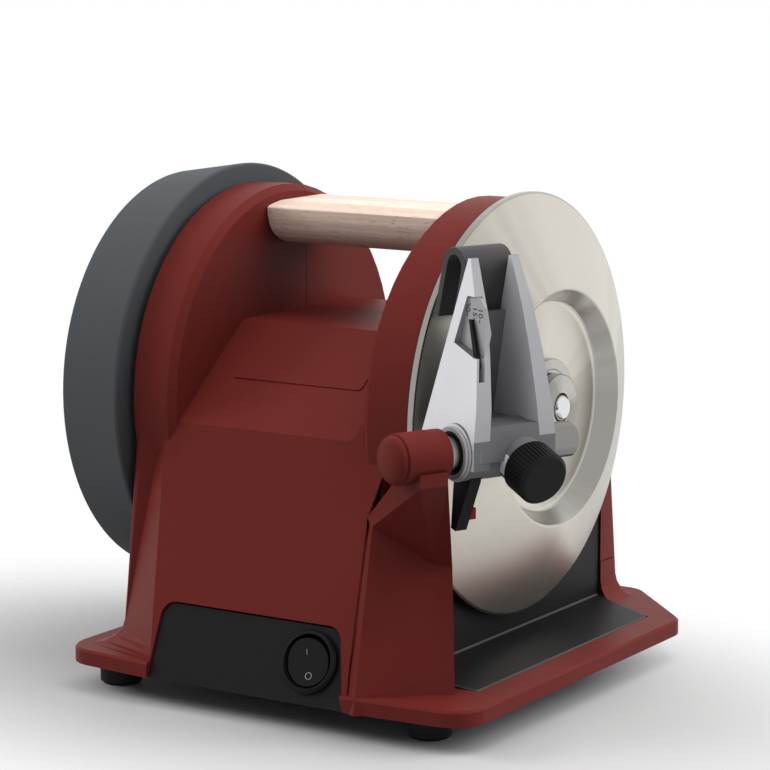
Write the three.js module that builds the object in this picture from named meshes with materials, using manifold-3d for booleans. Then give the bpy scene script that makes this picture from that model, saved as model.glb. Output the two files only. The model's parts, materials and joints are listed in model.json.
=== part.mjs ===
// Electric knife sharpener: a moulded housing carries a steel grinding wheel on its right,
// a honing wheel on its left, and a knife guide that slides and tilts on a steel bar.
// X runs along the wheel axle, Y to the rear and Z up. Lengths are in millimetres.
import * as THREE from 'three';
import { mergeVertices } from 'three/addons/utils/BufferGeometryUtils.js';
import Module from 'manifold-3d';

const wasm = await Module();
wasm.setup();

// Clearances and overruns
const seatGap = 0.3;
const panelGap = 0.5;
const overrun = 4;

// Axle
const wheelLift = 25;
const axleRadius = 6;
const axleLeftEnd = -91;
const axleRightEnd = 73;
const axleEndRound = 1.5;

// Feet and base flange
const footHeight = 9.4;
const footRadius = 7.5;
const footEdge = 1;
const footStudRadius = 3;
const footLeft = -62.5;
const footRight = 67;
const footFront = -80;
const footRear = 46;
const baseLeft = -75;
const baseRight = 92;
const baseFront = -100.7;
const baseRear = 90;
const baseRightCut = 35;
const baseLeftCut = 18;
const baseShoulderDrop = 3.5;
const baseCorner = 12;
const flangeThickness = 5.5;
const flangeEdge = 0.8;
const plateThickness = 2.2;

// Housing
const shellWall = 3;
const bodyLeft = -61;
const bodyRightFoot = 53.5;
const bodyRightTop = 53;
const bodyRearFoot = 81.3;
const bodyRearTop = 71.4;
const bodyRearCorner = 5;
const leftWallFrontFoot = -81.2;
const leftWallFrontTop = -72.3;
const frontTop = -66.9;
const leftCreaseFoot = -34.7;
const leftCreaseTop = -50.5;
const rightCreaseFoot = 46.5;
const rightCreaseTop = 36;
const rightWallFront = -58;
const rightFacetDepth = 9;
const coveRadius = 8;
const seamPlace = 11.6;
const seamHeight = 30;

// Cheeks beside the handle
const cheekInset = 2.5;
const leftCheekInner = -44;
const rightCheekInner = 34.8;
const cheekEdge = 2.4;

// Motor cover between the cheeks
const gripGap = 24.5;
const coverFrontEdge = -29;
const coverRearEdge = 43;
const coverEdgeRound = 5;
const foldDrop = 5.6;
const slopeRight = 31;
const slopeCorner = 5;
const slopeClearance = 14;
const badgeLeft = -33.2;
const badgeRight = 21;
const badgeLow = 22.8;
const badgeHigh = 31.3;
const badgeRise = 0.4;
const badgeCorner = 1.6;

// Well round the grinding wheel
const wellGap = 1.7;

// Bar, boss and guide directions
const coneRise = 14.87;
const coneRun = 33.63;
const barRadius = 6;
const barStandOff = 21.94;
const barDrop = 2.1;
const barInnerEnd = -58.5;
const barOuterEnd = 3.8;
const barEndRound = 1.5;
const bossRadius = 8.6;
const bossFrontEnd = -63.3;
const bossRearEnd = -50.3;
const plugRadius = 8;
const plugRim = 3.8;
const plugDome = 4;
const plugStub = 4.4;

// Post under the boss
const postStripWidth = 2.2;
// Corners of the post at its foot and at its knee, seen from above from the strip round to
// the root, and how far below the axle each corner of the knee is
const postFoot = [[44.3, -98.7], [50.7, -102.2], [72, -83.4], [77, -80.2], [58, -71.6], [42, -80]];
const postKnee = [[39, -76.2, 30.1], [44.3, -80, 30.9], [61.8, -69.9, 43.7], [67.4, -66.6, 44.3],
  [57, -64.5, 43], [41, -70, 33]];

// Switch panel and round rocker switch
const panelLeftFoot = -35.5;
const panelRightFoot = 46;
const panelLeftTop = -34.3;
const panelRightTop = 38;
const panelTop = 35.3;
const panelCorner = 5;
const panelThickness = 3;
const panelSink = 0.9;
const switchPlaceX = 29;
const switchPlaceZ = 23.6;
const bezelRadius = 11.6;
const bezelRise = 2.2;
const bezelLip = 1.6;
const bezelBodyRadius = 9.6;
const bezelDepth = 11;
const bezelBore = 8.8;
const rockerDepth = 7;
const rockerRise = 1.9;
const rockerHalfThrow = 7;

// Tray under the grinding wheel
const trayFront = -71;
const trayRearInner = 64.2;
const trayRearOuter = 51;
const trayWallFront = -60;
const trayFoldX = 52.5;
const trayGap = 7.5;
const trayEdgeX = 80;
const trayEdgeRise = 0.2;
const trayWallRise = 60.5;
const trayWallTopX = 52.5;
const trayThickness = 2.4;

// Handle
const handleCentreY = 8;
const handleInset = 5.3;
const handleThickness = 16.6;
const handleHalfDepth = 22;
const handleTopHalf = 13;
const handleScrewRadius = 2.5;
const handleScrewHead = 4.6;
const handleScrewHeadHeight = 3;
const handleScrewReach = 12;
const handleScrewY = 2;

// Grinding wheel
const wheelRadius = 75;
const wheelRimX = 57;
const wheelRimThickness = 2.6;
const wheelRimBevel = 0.5;
const recessRadius = 41.4;
const recessFloorRadius = 37;
const recessFloorX = 64.4;
const wheelWebThickness = 3.2;
const wheelHubRadius = 13;
const wheelHubX = 51.5;

// Hub fittings of the grinding wheel
const clampDiscRadius = 17;
const clampDiscThickness = 2.6;
const clampDiscBevel = 0.8;
const clampNutRadius = 12;
const clampNutHeight = 4.6;
const clampNutDome = 2.6;
const threadRadius = 5;

// Honing wheel
const honingInnerX = -63.8;
const honingOuterX = -91.3;
const honingMargin = 4.4;
const honingTaper = 4.3;
const honingEdge = 0.8;
const honingDish = 11;
const honingDishRadius = 50;
const honingNutRadius = 11;
const honingNutThickness = 7;
const honingWasherRadius = 17;
const honingWasherThickness = 2;

// Drive frame, bearings and gears
const frameThickness = 3;
const frameLeft = -41;
const frameRight = 31;
const frameFront = -34;
const frameRear = 54;
const frameHeadRadius = 21;
const frameUprightHalf = 34;
const bearingRadius = 14;
const bearingWidth = 8;
const bearingRaceWall = 2.6;
const bearingSealSink = 0.6;
const gearModule = 2;
const gearTeeth = 42;
const pinionTeeth = 7;
const gearWidth = 7.5;
const gearLeft = -57;
const gearHubRadius = 12;
const gearWeb = 3;
const gearRimWall = 5;
const toothTipShare = 0.8;
const toothRootShare = 1.15;
const toothFootShare = 0.3;
const toothHeadShare = 0.11;

// Motor
const statorHalf = 29;
const statorCorner = 8;
const statorLength = 28;
const statorMiddle = 0;
const rotorRadius = 19.6;
const airGap = 0.6;
const motorShaftRadius = 4;
const coilOuterRadius = 27.5;
const coilReach = 8;
const coilGap = 0.3;
const fanRadius = 24;
const fanThickness = 4;
const fanHubRadius = 7;
const fanBlades = 7;

// Run capacitor
const capacitorRadius = 10.5;
const capacitorLength = 50;
const capacitorLeft = -24;
const capacitorEdge = 1.5;

// Cable gland at the rear
const glandX = -30;
const glandHeight = 22;
const glandFlangeRadius = 7;
const glandFlangeThickness = 2.4;
const glandNeckRadius = 5;
const glandBore = 3.2;
const glandInnerReach = 6;

// Knife guide, in lengths from the bar axis
const guideMiddle = -27.3;
const guideFootHalf = 17;
const guideTopHalf = 9.6;
const guideTopHeight = 63;
const sleeveRadius = 9.7;
const sleeveBore = 7.7;
const armRearFoot = -19.2;
const armRearFootHeight = 4.7;
const armRearTop = -2.8;
const armFrontFoot = 10.6;
const armFootThickness = 6.6;
const armTopThickness = 3;
// Shares of the arm's height, and at each the front edge as a share of its foot and the
// thickness as a share between top and foot
const armShares = [[0, 1, 1], [0.24, 0.94, 0.86], [0.5, 0.71, 0.62], [0.75, 0.4, 0.4], [1, -0.14, 0]];
const webThickness = 3;
const webTop = 44.5;
const floorHeight = 9;
const windowTopHeight = 51;
const windowTopPlace = -1.3;
const windowRearHeight = 35.3;
const windowRearPlace = -6.1;
const windowFrontHeight = 31.5;
const windowFrontPlace = 5.8;
const windowDepth = 3;

// Jaw liner
const jawOuterHalf = 6.5;
const slotHalf = 3.9;
const jawArchHeight = 59.4;
const jawFrontEnd = 44.5;
const jawRearEnd = 40.8;

// Angle stop: bush, lever and pointer
const bushWall = 1;
const bushOverhang = 0.9;
const bushRimRadius = 8.6;
const leverLeft = -41;
const leverWidth = 4.5;
const leverReach = 26.6;
const leverTopHalf = 4.4;
const leverLean = -5;
const leverThickness = 2.6;
const tipRise = 4.6;
const tipLength = 3.2;
const tipHalf = 2;
const pointerDepth = 1.5;
const pointerThickness = 1.1;
const pointerTipHeight = 43.5;
const pointerTipPlace = -0.4;
const pointerKneeHeight = 29;
const pointerKneePlace = 5.6;
const pointerRootHalf = 2.4;
const pointerTipHalf = 0.7;
const pointerKneeHalf = 1.1;
// The guide's swing toward the wheel and away from it, in degrees
const swingIn = 5.5;
const swingOut = 2.5;

// Knob
const knobTilt = 20;
const knobStart = 12.2;
const knobLength = 11.2;
const knobRadius = 9.2;
const knobBossRadius = 8.2;
const knobGrooves = 20;
const knobGrooveDepth = 0.6;
const knobPlace = -23.6;
const knobFaceSink = 0.7;
const knobStudRadius = 2.5;

// Derived places
const axleHeight = wheelRadius + wheelLift;
const cheekRadius = wheelRadius - cheekInset;
const handleTop = axleHeight + cheekRadius - handleInset;
const handleBottom = handleTop - handleThickness;
const coverTop = handleBottom - gripGap;
const foldHeight = axleHeight - foldDrop;
const coneAngle = Math.atan(coneRise / coneRun);
const barOffset = Math.cos(coneAngle) * wheelRimX + Math.sin(coneAngle) * wheelRadius + barStandOff;
const barHeight = axleHeight - barDrop;
const trayFoldZ = axleHeight - wheelRadius - trayGap;
const trayWallTop = trayFoldZ + trayWallRise;
const honingInnerRadius = wheelRadius + honingMargin;
const honingOuterRadius = honingInnerRadius - honingTaper;
const baseUnderside = footHeight + seatGap;
const flangeTop = baseUnderside + flangeThickness;
const recessRingX = wheelRimX + (wheelRadius - recessRadius) * coneRise / coneRun;
const wellRadius = wheelRadius + wellGap;
const frontLean = (frontTop - baseFront) / (axleHeight - baseUnderside);
const gearRadius = gearModule * gearTeeth / 2;
const pinionRadius = gearModule * pinionTeeth / 2;
const motorHeight = axleHeight - gearRadius - pinionRadius;
const plateTop = baseUnderside + plateThickness;
const frameFloor = plateTop + seatGap;
const armSlope = (armRearTop - armRearFoot) / (guideTopHeight - armRearFootHeight);
const rad = Math.PI / 180;

// Solid modelling helpers

function facingOut(geometry) {
  const place = geometry.attributes.position;
  const index = geometry.index.array;
  const corners = [new THREE.Vector3(), new THREE.Vector3(), new THREE.Vector3()];
  const kept = [];
  let volume = 0;
  for (let i = 0; i < index.length; i += 3) {
    const [a, b, c] = [index[i], index[i + 1], index[i + 2]];
    if (a === b || b === c || a === c) continue;
    kept.push(a, b, c);
    corners.forEach((corner, k) => corner.fromBufferAttribute(place, index[i + k]));
    volume += corners[0].dot(corners[1].cross(corners[2]));
  }
  if (volume < 0) kept.reverse();
  geometry.setIndex(kept);
  return geometry;
}

function weld(geometry) {
  geometry.deleteAttribute('normal');
  geometry.deleteAttribute('uv');
  return facingOut(mergeVertices(geometry));
}

function solid(geometry) {
  const welded = weld(geometry);
  const mesh = new wasm.Mesh({
    numProp: 3,
    vertProperties: new Float32Array(welded.attributes.position.array),
    triVerts: new Uint32Array(welded.index.array),
  });
  return new wasm.Manifold(mesh);
}

function geometryOf(manifold) {
  const mesh = manifold.getMesh();
  const geometry = new THREE.BufferGeometry();
  const places = new Float32Array(mesh.vertProperties);
  geometry.setAttribute('position', new THREE.BufferAttribute(places, mesh.numProp));
  geometry.setIndex(Array.from(mesh.triVerts));
  return geometry;
}

function join(...solids) {
  return solids.reduce((whole, next) => whole.add(next));
}

function boxGeometry(x0, x1, y0, y1, z0, z1) {
  const geometry = new THREE.BoxGeometry(x1 - x0, y1 - y0, z1 - z0);
  return geometry.translate((x0 + x1) / 2, (y0 + y1) / 2, (z0 + z1) / 2);
}

function box(...limits) {
  return solid(boxGeometry(...limits));
}

// A turned body about the X axis. Profile points are [place along X, radius].
function turnedX(profile, steps = 60) {
  const points = profile.map(([along, radius]) => new THREE.Vector2(radius, along));
  return new THREE.LatheGeometry(points, steps).rotateZ(-Math.PI / 2);
}

// A turned body about the Y axis. Profile points are [place along Y, radius].
function turnedY(profile, steps = 36) {
  const points = profile.map(([along, radius]) => new THREE.Vector2(radius, along));
  return new THREE.LatheGeometry(points, steps);
}

// A turned body about the Z axis. Profile points are [height, radius].
function turnedZ(profile, steps = 32) {
  return turnedY(profile, steps).rotateX(Math.PI / 2);
}

function rodProfile(start, end, radius) {
  return [[start, 0], [start, radius], [end, radius], [end, 0]];
}

function ringProfile(start, end, inner, outer) {
  return [[start, inner], [start, outer], [end, outer], [end, inner], [start, inner]];
}

// A flat outline of [x, y, radius] corners, each rounded by its radius
function rounded(corners, steps = 5) {
  const count = corners.length;
  return corners.flatMap(([x, y, radius], i) => {
    const here = new THREE.Vector2(x, y);
    if (!radius) return [here];
    const [px, py] = corners[(i + count - 1) % count];
    const [nx, ny] = corners[(i + 1) % count];
    const back = new THREE.Vector2(px, py).sub(here).normalize();
    const ahead = new THREE.Vector2(nx, ny).sub(here).normalize();
    const half = Math.acos(THREE.MathUtils.clamp(back.dot(ahead), -1, 1)) / 2;
    const reach = radius / Math.tan(half);
    const start = here.clone().addScaledVector(back, reach);
    const end = here.clone().addScaledVector(ahead, reach);
    const bisector = back.clone().add(ahead).normalize();
    const centre = here.clone().addScaledVector(bisector, radius / Math.sin(half));
    const from = start.clone().sub(centre);
    const turn = from.cross(end.clone().sub(centre)) > 0 ? 1 : -1;
    const sweep = turn * (Math.PI - 2 * half);
    return Array.from({ length: steps + 1 }, (_, k) =>
      from.clone().rotateAround(new THREE.Vector2(), sweep * k / steps).add(centre));
  });
}

function prism(outline, depth, holes = []) {
  const shape = new THREE.Shape(outline);
  shape.holes = holes.map((hole) => new THREE.Path(hole));
  return new THREE.ExtrudeGeometry(shape, { depth, bevelEnabled: false });
}

// A prism along X of an outline drawn in Y and Z
function prismX(outline, start, end) {
  const geometry = prism(outline, end - start);
  const turn = new THREE.Matrix4().makeBasis(
    new THREE.Vector3(0, 1, 0), new THREE.Vector3(0, 0, 1), new THREE.Vector3(1, 0, 0));
  return geometry.applyMatrix4(turn).translate(start, 0, 0);
}

// A prism along Y of an outline drawn in X and Z
function prismY(outline, start, end) {
  return prism(outline, end - start).rotateX(Math.PI / 2).translate(0, end, 0);
}

// A loft through sections with equal point counts, each { height, outline }, or an outline
// of points that carry their own heights
function loft(sections) {
  const count = sections[0].outline.length;
  const places = sections.flatMap(({ height, outline }) =>
    outline.flatMap((point) => [point.x, point.y, height ?? point.z]));
  const index = [];
  for (let level = 0; level < sections.length - 1; level += 1) {
    for (let i = 0; i < count; i += 1) {
      const a = level * count + i;
      const b = level * count + (i + 1) % count;
      index.push(a, b, b + count, a, b + count, a + count);
    }
  }
  const cap = THREE.ShapeUtils.triangulateShape(sections[0].outline, []);
  const topCap = THREE.ShapeUtils.triangulateShape(sections.at(-1).outline, []);
  const last = (sections.length - 1) * count;
  cap.forEach(([a, b, c]) => index.push(c, b, a));
  topCap.forEach(([a, b, c]) => index.push(last + a, last + b, last + c));
  const geometry = new THREE.BufferGeometry();
  geometry.setAttribute('position', new THREE.Float32BufferAttribute(places, 3));
  geometry.setIndex(index);
  return geometry;
}

// Moves each side of an outline inward by a wall
function inset(outline, wall) {
  const count = outline.length;
  return outline.map((here, i) => {
    const before = outline[(i + count - 1) % count];
    const after = outline[(i + 1) % count];
    const arrive = here.clone().sub(before).normalize();
    const leave = after.clone().sub(here).normalize();
    const normalA = new THREE.Vector2(-arrive.y, arrive.x);
    const normalB = new THREE.Vector2(-leave.y, leave.x);
    const mitre = normalA.clone().add(normalB).divideScalar(1 + normalA.dot(normalB));
    return here.clone().addScaledVector(mitre, wall);
  });
}

// Places a geometry drawn about the bar, with X out from the wheel and Y along the bar
function onBar(geometry) {
  geometry.rotateZ(-coneAngle);
  return geometry.translate(Math.cos(coneAngle) * barOffset, -Math.sin(coneAngle) * barOffset, barHeight);
}

function blend(from, to, share) {
  return from + (to - from) * share;
}

// Base flange and body sections

function baseCorners() {
  const shoulder = baseFront + baseShoulderDrop;
  return [
    [leftCreaseFoot, baseFront, 0],
    [rightCreaseFoot, baseFront, 0],
    [baseRight, shoulder, baseCorner],
    [baseRight, baseRear - baseRightCut, baseCorner],
    [baseRight - baseRightCut, baseRear, baseCorner],
    [baseLeft + baseLeftCut, baseRear, baseCorner],
    [baseLeft, baseRear - baseLeftCut, baseCorner],
    [baseLeft, shoulder, baseCorner],
  ];
}

function frontAt(height) {
  return baseFront + frontLean * (height - baseUnderside);
}

function bodyOutline(height, flare = 0, wall = 0) {
  const share = (height - baseUnderside) / (axleHeight - baseUnderside);
  const front = frontAt(height);
  const right = blend(bodyRightFoot, bodyRightTop, share) + flare;
  const left = bodyLeft - flare;
  const rear = blend(bodyRearFoot, bodyRearTop, share);
  const leftFront = blend(leftWallFrontFoot, leftWallFrontTop, share) - flare;
  const corners = [
    [left, leftFront],
    [blend(leftCreaseFoot, leftCreaseTop, share), front],
    [blend(rightCreaseFoot, rightCreaseTop, share), front],
    [right - rightFacetDepth, rightWallFront - rightFacetDepth],
    [right, rightWallFront],
    [right, rear],
    [left, rear],
  ].map(([x, y]) => new THREE.Vector2(x, y));
  const corner = Math.max(bodyRearCorner - wall, bodyRearCorner / 4);
  const rounds = [corner / 2, 0, 0, 0, 0, corner, corner];
  return rounded(inset(corners, wall).map((point, i) => [point.x, point.y, rounds[i]]), 3);
}

function bodyLoft() {
  const steps = 4;
  const cove = Array.from({ length: steps }, (_, i) => {
    const turn = Math.PI / 2 * i / steps;
    const height = flangeTop + coveRadius * (1 - Math.cos(turn));
    return { height, outline: bodyOutline(height, coveRadius * (1 - Math.sin(turn))) };
  });
  const foot = { height: baseUnderside, outline: bodyOutline(baseUnderside, coveRadius) };
  const heights = [flangeTop + coveRadius, axleHeight];
  const upper = heights.map((height) => ({ height, outline: bodyOutline(height) }));
  return solid(loft([foot, ...cove, ...upper]));
}

function bodyCavity() {
  const heights = [baseUnderside - overrun, axleHeight - shellWall];
  const sections = heights.map((height) => ({ height, outline: bodyOutline(height, 0, shellWall) }));
  const wellJacket = turnedX(rodProfile(bodyRightTop - shellWall, baseRight, wellRadius + shellWall), 40);
  return solid(loft(sections))
    .subtract(solid(wellJacket.translate(0, 0, axleHeight)))
    .subtract(slopeRecess(shellWall));
}

function coverOutline(wall) {
  const lower = foldHeight - wall - overrun;
  const corners = [
    new THREE.Vector2(frontAt(lower), lower),
    new THREE.Vector2(bodyRearTop, lower),
    new THREE.Vector2(bodyRearTop, axleHeight),
    new THREE.Vector2(coverRearEdge, coverTop),
    new THREE.Vector2(coverFrontEdge, coverTop),
    new THREE.Vector2(frontAt(foldHeight), foldHeight),
  ];
  const walls = inset(corners, wall);
  const rounds = [0, 0, 0, coverEdgeRound, coverEdgeRound, 0];
  return rounded(walls.map((corner, i) => [corner.x, corner.y, rounds[i]]), 4);
}

function motorCover() {
  const middle = (leftCheekInner + bodyLeft) / 2;
  return solid(prismX(coverOutline(0), middle, (rightCheekInner + bodyRightTop) / 2));
}

// A prism standing on the front slope of the cover, with X across and Y up the slope
function onSlope(outline, low, high) {
  const foot = frontAt(foldHeight);
  const up = new THREE.Vector3(0, coverFrontEdge - foot, coverTop - foldHeight).normalize();
  const across = new THREE.Vector3(1, 0, 0);
  const turn = new THREE.Matrix4().makeBasis(across, up, across.clone().cross(up));
  const geometry = prism(outline, high - low).translate(0, 0, low);
  return solid(geometry.applyMatrix4(turn).translate(0, foot, foldHeight));
}

// The space in front of the slope, between the cheeks
function slopeRecess(grow) {
  const [left, right, low] = [leftCheekInner - grow, slopeRight + grow, -grow];
  const high = coverTop - foldHeight;
  const corner = slopeCorner + grow;
  const outline = rounded([[left, low, 0], [right, low, corner], [right, high, 0], [left, high, 0]]);
  return onSlope(outline, -grow, slopeClearance);
}

// The plain raised plate on the slope
function badge() {
  const outline = rounded([
    [badgeLeft, badgeLow, badgeCorner], [badgeRight, badgeLow, badgeCorner],
    [badgeRight, badgeHigh, badgeCorner], [badgeLeft, badgeHigh, badgeCorner],
  ], 3);
  return onSlope(outline, -shellWall / 2, badgeRise);
}

function motorCoverCavity() {
  return solid(prismX(coverOutline(shellWall), leftCheekInner - shellWall, rightCheekInner + shellWall));
}

function cheek(inner, outer) {
  const edge = inner < outer ? cheekEdge : -cheekEdge;
  const profile = [[inner, 0], [inner, cheekRadius - cheekEdge], [inner + edge, cheekRadius]];
  profile.push([outer, cheekRadius], [outer, 0]);
  return solid(turnedX(profile).translate(0, 0, axleHeight));
}

function cheekCavity(inner, outer) {
  const wall = inner < outer ? shellWall : -shellWall;
  const profile = rodProfile(inner + wall, outer - wall, cheekRadius - shellWall);
  return solid(turnedX(profile, 40).translate(0, 0, axleHeight));
}

function baseSlab() {
  const outline = rounded(baseCorners());
  const edge = flangeTop - flangeEdge;
  return solid(loft([
    { height: baseUnderside, outline },
    { height: edge, outline },
    { height: flangeTop, outline: inset(outline, flangeEdge) },
  ]));
}

function baseSlabCavity() {
  const outline = inset(rounded(baseCorners()), shellWall);
  const height = flangeTop - shellWall;
  return solid(loft([
    { height: baseUnderside - overrun, outline },
    { height, outline },
  ]));
}

// Post and boss that carry the bar

function barPoint(out, along) {
  const reach = barOffset + out;
  return new THREE.Vector2(
    Math.cos(coneAngle) * reach + Math.sin(coneAngle) * along,
    Math.cos(coneAngle) * along - Math.sin(coneAngle) * reach);
}

function post() {
  const rearEnd = bossRearEnd - postStripWidth;
  const neck = [
    barPoint(-bossRadius, bossFrontEnd + postStripWidth),
    barPoint(-bossRadius + postStripWidth, bossFrontEnd),
    barPoint(bossRadius, bossFrontEnd),
    barPoint(bossRadius, rearEnd),
    barPoint(-bossRadius + postStripWidth, rearEnd),
    barPoint(-bossRadius, rearEnd),
  ];
  return solid(loft([
    { height: baseUnderside, outline: postFoot.map(([x, y]) => new THREE.Vector2(x, y)) },
    { outline: postKnee.map(([x, y, drop]) => new THREE.Vector3(x, y, axleHeight - drop)) },
    { height: barHeight - bossRadius, outline: neck },
    { height: barHeight - bossRadius / 2, outline: neck },
  ]));
}

function bossAndBore() {
  const boss = solid(onBar(turnedY(rodProfile(bossFrontEnd, bossRearEnd, bossRadius))));
  const bore = solid(onBar(turnedY(
    rodProfile(bossFrontEnd - overrun, bossRearEnd + overrun, barRadius + seatGap))));
  return { boss, bore };
}

// Openings of the housing

function wheelWell() {
  const profile = rodProfile(bodyRightTop + seatGap, baseRight + overrun, wellRadius);
  return solid(turnedX(profile).translate(0, 0, axleHeight));
}

function trayOutline(grow, drop) {
  return [
    new THREE.Vector2(trayWallTopX - trayThickness - grow, trayWallTop),
    new THREE.Vector2(trayFoldX - trayThickness - grow, trayFoldZ - trayThickness),
    new THREE.Vector2(trayFoldX - trayThickness - grow, plateTop - drop),
    new THREE.Vector2(trayEdgeX + grow, plateTop - drop),
    new THREE.Vector2(trayEdgeX + grow, flangeTop + trayEdgeRise),
  ];
}

function trayCutter() {
  const outer = new THREE.Vector2(baseRight, trayWallTop);
  const side = new THREE.Vector2(trayEdgeX + panelGap, flangeTop + coveRadius * 2);
  return trayShape([...trayOutline(panelGap, overrun * 2), side, outer], panelGap);
}

// Space that the tray takes: an outline in X and Z, run along Y between its slanted rear end
// and its front end, which stands further back above the flange
function trayShape(outline, grow) {
  const [low, high] = [-overrun, axleHeight];
  const inner = trayFoldX - trayThickness * 2;
  const plan = (front) => [
    [inner, front - grow], [baseRight, front - grow],
    [baseRight, trayRearAt(baseRight) + grow], [inner, trayRearAt(inner) + grow],
  ].map(([x, y]) => new THREE.Vector2(x, y));
  const step = flangeTop + coveRadius * 2;
  const lower = solid(prism(plan(trayFront), step - low).translate(0, 0, low));
  const upper = solid(prism(plan(trayWallFront), high - low).translate(0, 0, low));
  return solid(prismY(outline, trayFront - overrun, baseRear)).intersect(lower.add(upper));
}

function trayRearAt(x) {
  return blend(trayRearInner, trayRearOuter, (x - trayFoldX) / (trayEdgeX - trayFoldX));
}

function panelOutline(grow) {
  const slant = Math.hypot(1, frontLean);
  const foot = (baseUnderside - overrun - baseUnderside) * slant;
  const top = (panelTop - baseUnderside) * slant;
  return rounded([
    [panelLeftFoot - grow, foot, 0],
    [panelRightFoot + grow, foot, 0],
    [panelRightTop + grow, top + grow, panelCorner + grow],
    [panelLeftTop - grow, top + grow, panelCorner + grow],
  ]);
}

// Places a geometry drawn on the front face, with X across, Y up the face and Z out of it
function onFront(geometry) {
  const length = Math.hypot(1, frontLean);
  const up = new THREE.Vector3(0, frontLean / length, 1 / length);
  const out = new THREE.Vector3(0, -1 / length, frontLean / length);
  const turn = new THREE.Matrix4().makeBasis(new THREE.Vector3(1, 0, 0), up, out);
  return geometry.applyMatrix4(turn).translate(0, baseFront, baseUnderside);
}

function panelCutter() {
  const depth = shellWall + overrun * 2;
  return solid(onFront(prism(panelOutline(panelGap), depth).translate(0, 0, -shellWall - overrun)));
}

function shaftHole() {
  const profile = rodProfile(bodyLeft - overrun, bodyRightTop + overrun, wheelHubRadius + seatGap * 3);
  return solid(turnedX(profile, 24).translate(0, 0, axleHeight));
}

function handleScrewHoles() {
  const profile = rodProfile(leftCheekInner - shellWall - seatGap, rightCheekInner + shellWall + seatGap,
    handleScrewRadius + seatGap);
  return solid(turnedX(profile, 12).translate(0, handleScrewY, handleMiddle()));
}

function glandSeat() {
  const rear = glandSeatPlace();
  const hole = turnedY(rodProfile(rear - shellWall * 4, rear + overrun, glandNeckRadius + seatGap), 16);
  const face = turnedY(rodProfile(rear, rear + overrun * 2, glandFlangeRadius + seatGap), 16);
  return join(solid(hole), solid(face)).translate(glandX, 0, glandHeight);
}

function glandSeatPlace() {
  const share = (glandHeight - baseUnderside) / (axleHeight - baseUnderside);
  return blend(bodyRearFoot, bodyRearTop, share) - glandFlangeThickness / 2;
}

// Housing halves

function housing() {
  const { boss, bore } = bossAndBore();
  const outer = join(
    bodyLoft(), baseSlab(), motorCover(),
    cheek(leftCheekInner, bodyLeft), cheek(rightCheekInner, bodyRightTop),
    post(), boss).subtract(slopeRecess(0)).add(badge());
  const hollow = join(
    bodyCavity(), baseSlabCavity(), motorCoverCavity(),
    cheekCavity(leftCheekInner, bodyLeft), cheekCavity(rightCheekInner, bodyRightTop));
  return outer
    .subtract(hollow)
    .subtract(wheelWell())
    .subtract(trayCutter())
    .subtract(panelCutter())
    .subtract(shaftHole())
    .subtract(handleScrewHoles())
    .subtract(bore);
}

function rearRegion(grow) {
  const right = bodyRightTop + seatGap + grow;
  const far = bodyRearTop + overrun * 2;
  const high = axleHeight + cheekRadius + overrun;
  return box(bodyLeft - overrun * 3, right, seamPlace - grow, far, seamHeight - grow, high);
}

function rearShell(whole) {
  return whole.intersect(rearRegion(-seatGap / 2));
}

function frontShell(whole) {
  return whole.subtract(rearRegion(seatGap / 2)).subtract(glandSeat());
}

// Dark pieces of the base

function basePlate() {
  const outline = inset(rounded(baseCorners()), shellWall + seatGap);
  const slab = solid(prism(outline, plateThickness).translate(0, 0, baseUnderside));
  const studs = footPlaces().map(([x, y]) =>
    solid(turnedZ(rodProfile(baseUnderside - overrun, plateTop + overrun, footStudRadius + seatGap), 12)
      .translate(x, y, 0)));
  const notch = box(panelLeftFoot - panelGap, panelRightFoot + panelGap,
    baseFront - overrun, baseFront + bezelDepth + overrun, baseUnderside - overrun, plateTop + overrun);
  return slab.subtract(join(...studs)).subtract(notch);
}

function footPlaces() {
  return [[footLeft, footFront], [footRight, footFront], [footLeft, footRear], [footRight, footRear]];
}

function foot() {
  const reach = footHeight + plateThickness;
  return weld(turnedZ([
    [0, 0], [0, footRadius - footEdge], [footEdge, footRadius], [footHeight, footRadius],
    [footHeight, footStudRadius], [reach, footStudRadius], [reach, 0],
  ], 16));
}

function sideTray() {
  const surface = [
    new THREE.Vector2(trayWallTopX, trayWallTop),
    new THREE.Vector2(trayFoldX, trayFoldZ),
    new THREE.Vector2(trayEdgeX, flangeTop + trayEdgeRise),
  ];
  const underside = [
    new THREE.Vector2(trayEdgeX, frameFloor),
    new THREE.Vector2(trayEdgeX - trayThickness, frameFloor),
    new THREE.Vector2(trayEdgeX - trayThickness, flangeTop + trayEdgeRise - trayThickness / 2),
    new THREE.Vector2(trayFoldX, trayFoldZ - trayThickness),
    new THREE.Vector2(trayFoldX, frameFloor),
    new THREE.Vector2(trayFoldX - trayThickness, frameFloor),
    new THREE.Vector2(trayFoldX - trayThickness, trayFoldZ - trayThickness),
    new THREE.Vector2(trayWallTopX - trayThickness, trayWallTop),
  ];
  return trayShape([...surface, ...underside], 0);
}

function switchPanel() {
  const plate = solid(onFront(prism(panelOutline(0), panelThickness)
    .translate(0, 0, -panelSink - panelThickness)));
  const floor = box(
    bodyLeft, bodyRightFoot, baseFront - overrun, 0, baseUnderside - overrun * 4, baseUnderside);
  const hole = switchSolid(turnedZ(
    rodProfile(-bezelDepth, bezelRise, bezelBodyRadius + seatGap), 28));
  return plate.subtract(floor).subtract(hole);
}

// Places a geometry drawn about the switch, with Z out of the panel
function onSwitch(geometry) {
  const slant = Math.hypot(1, frontLean);
  return onFront(geometry.translate(switchPlaceX, (switchPlaceZ - baseUnderside) * slant, -panelSink));
}

function switchSolid(geometry) {
  return solid(onSwitch(geometry));
}

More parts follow.
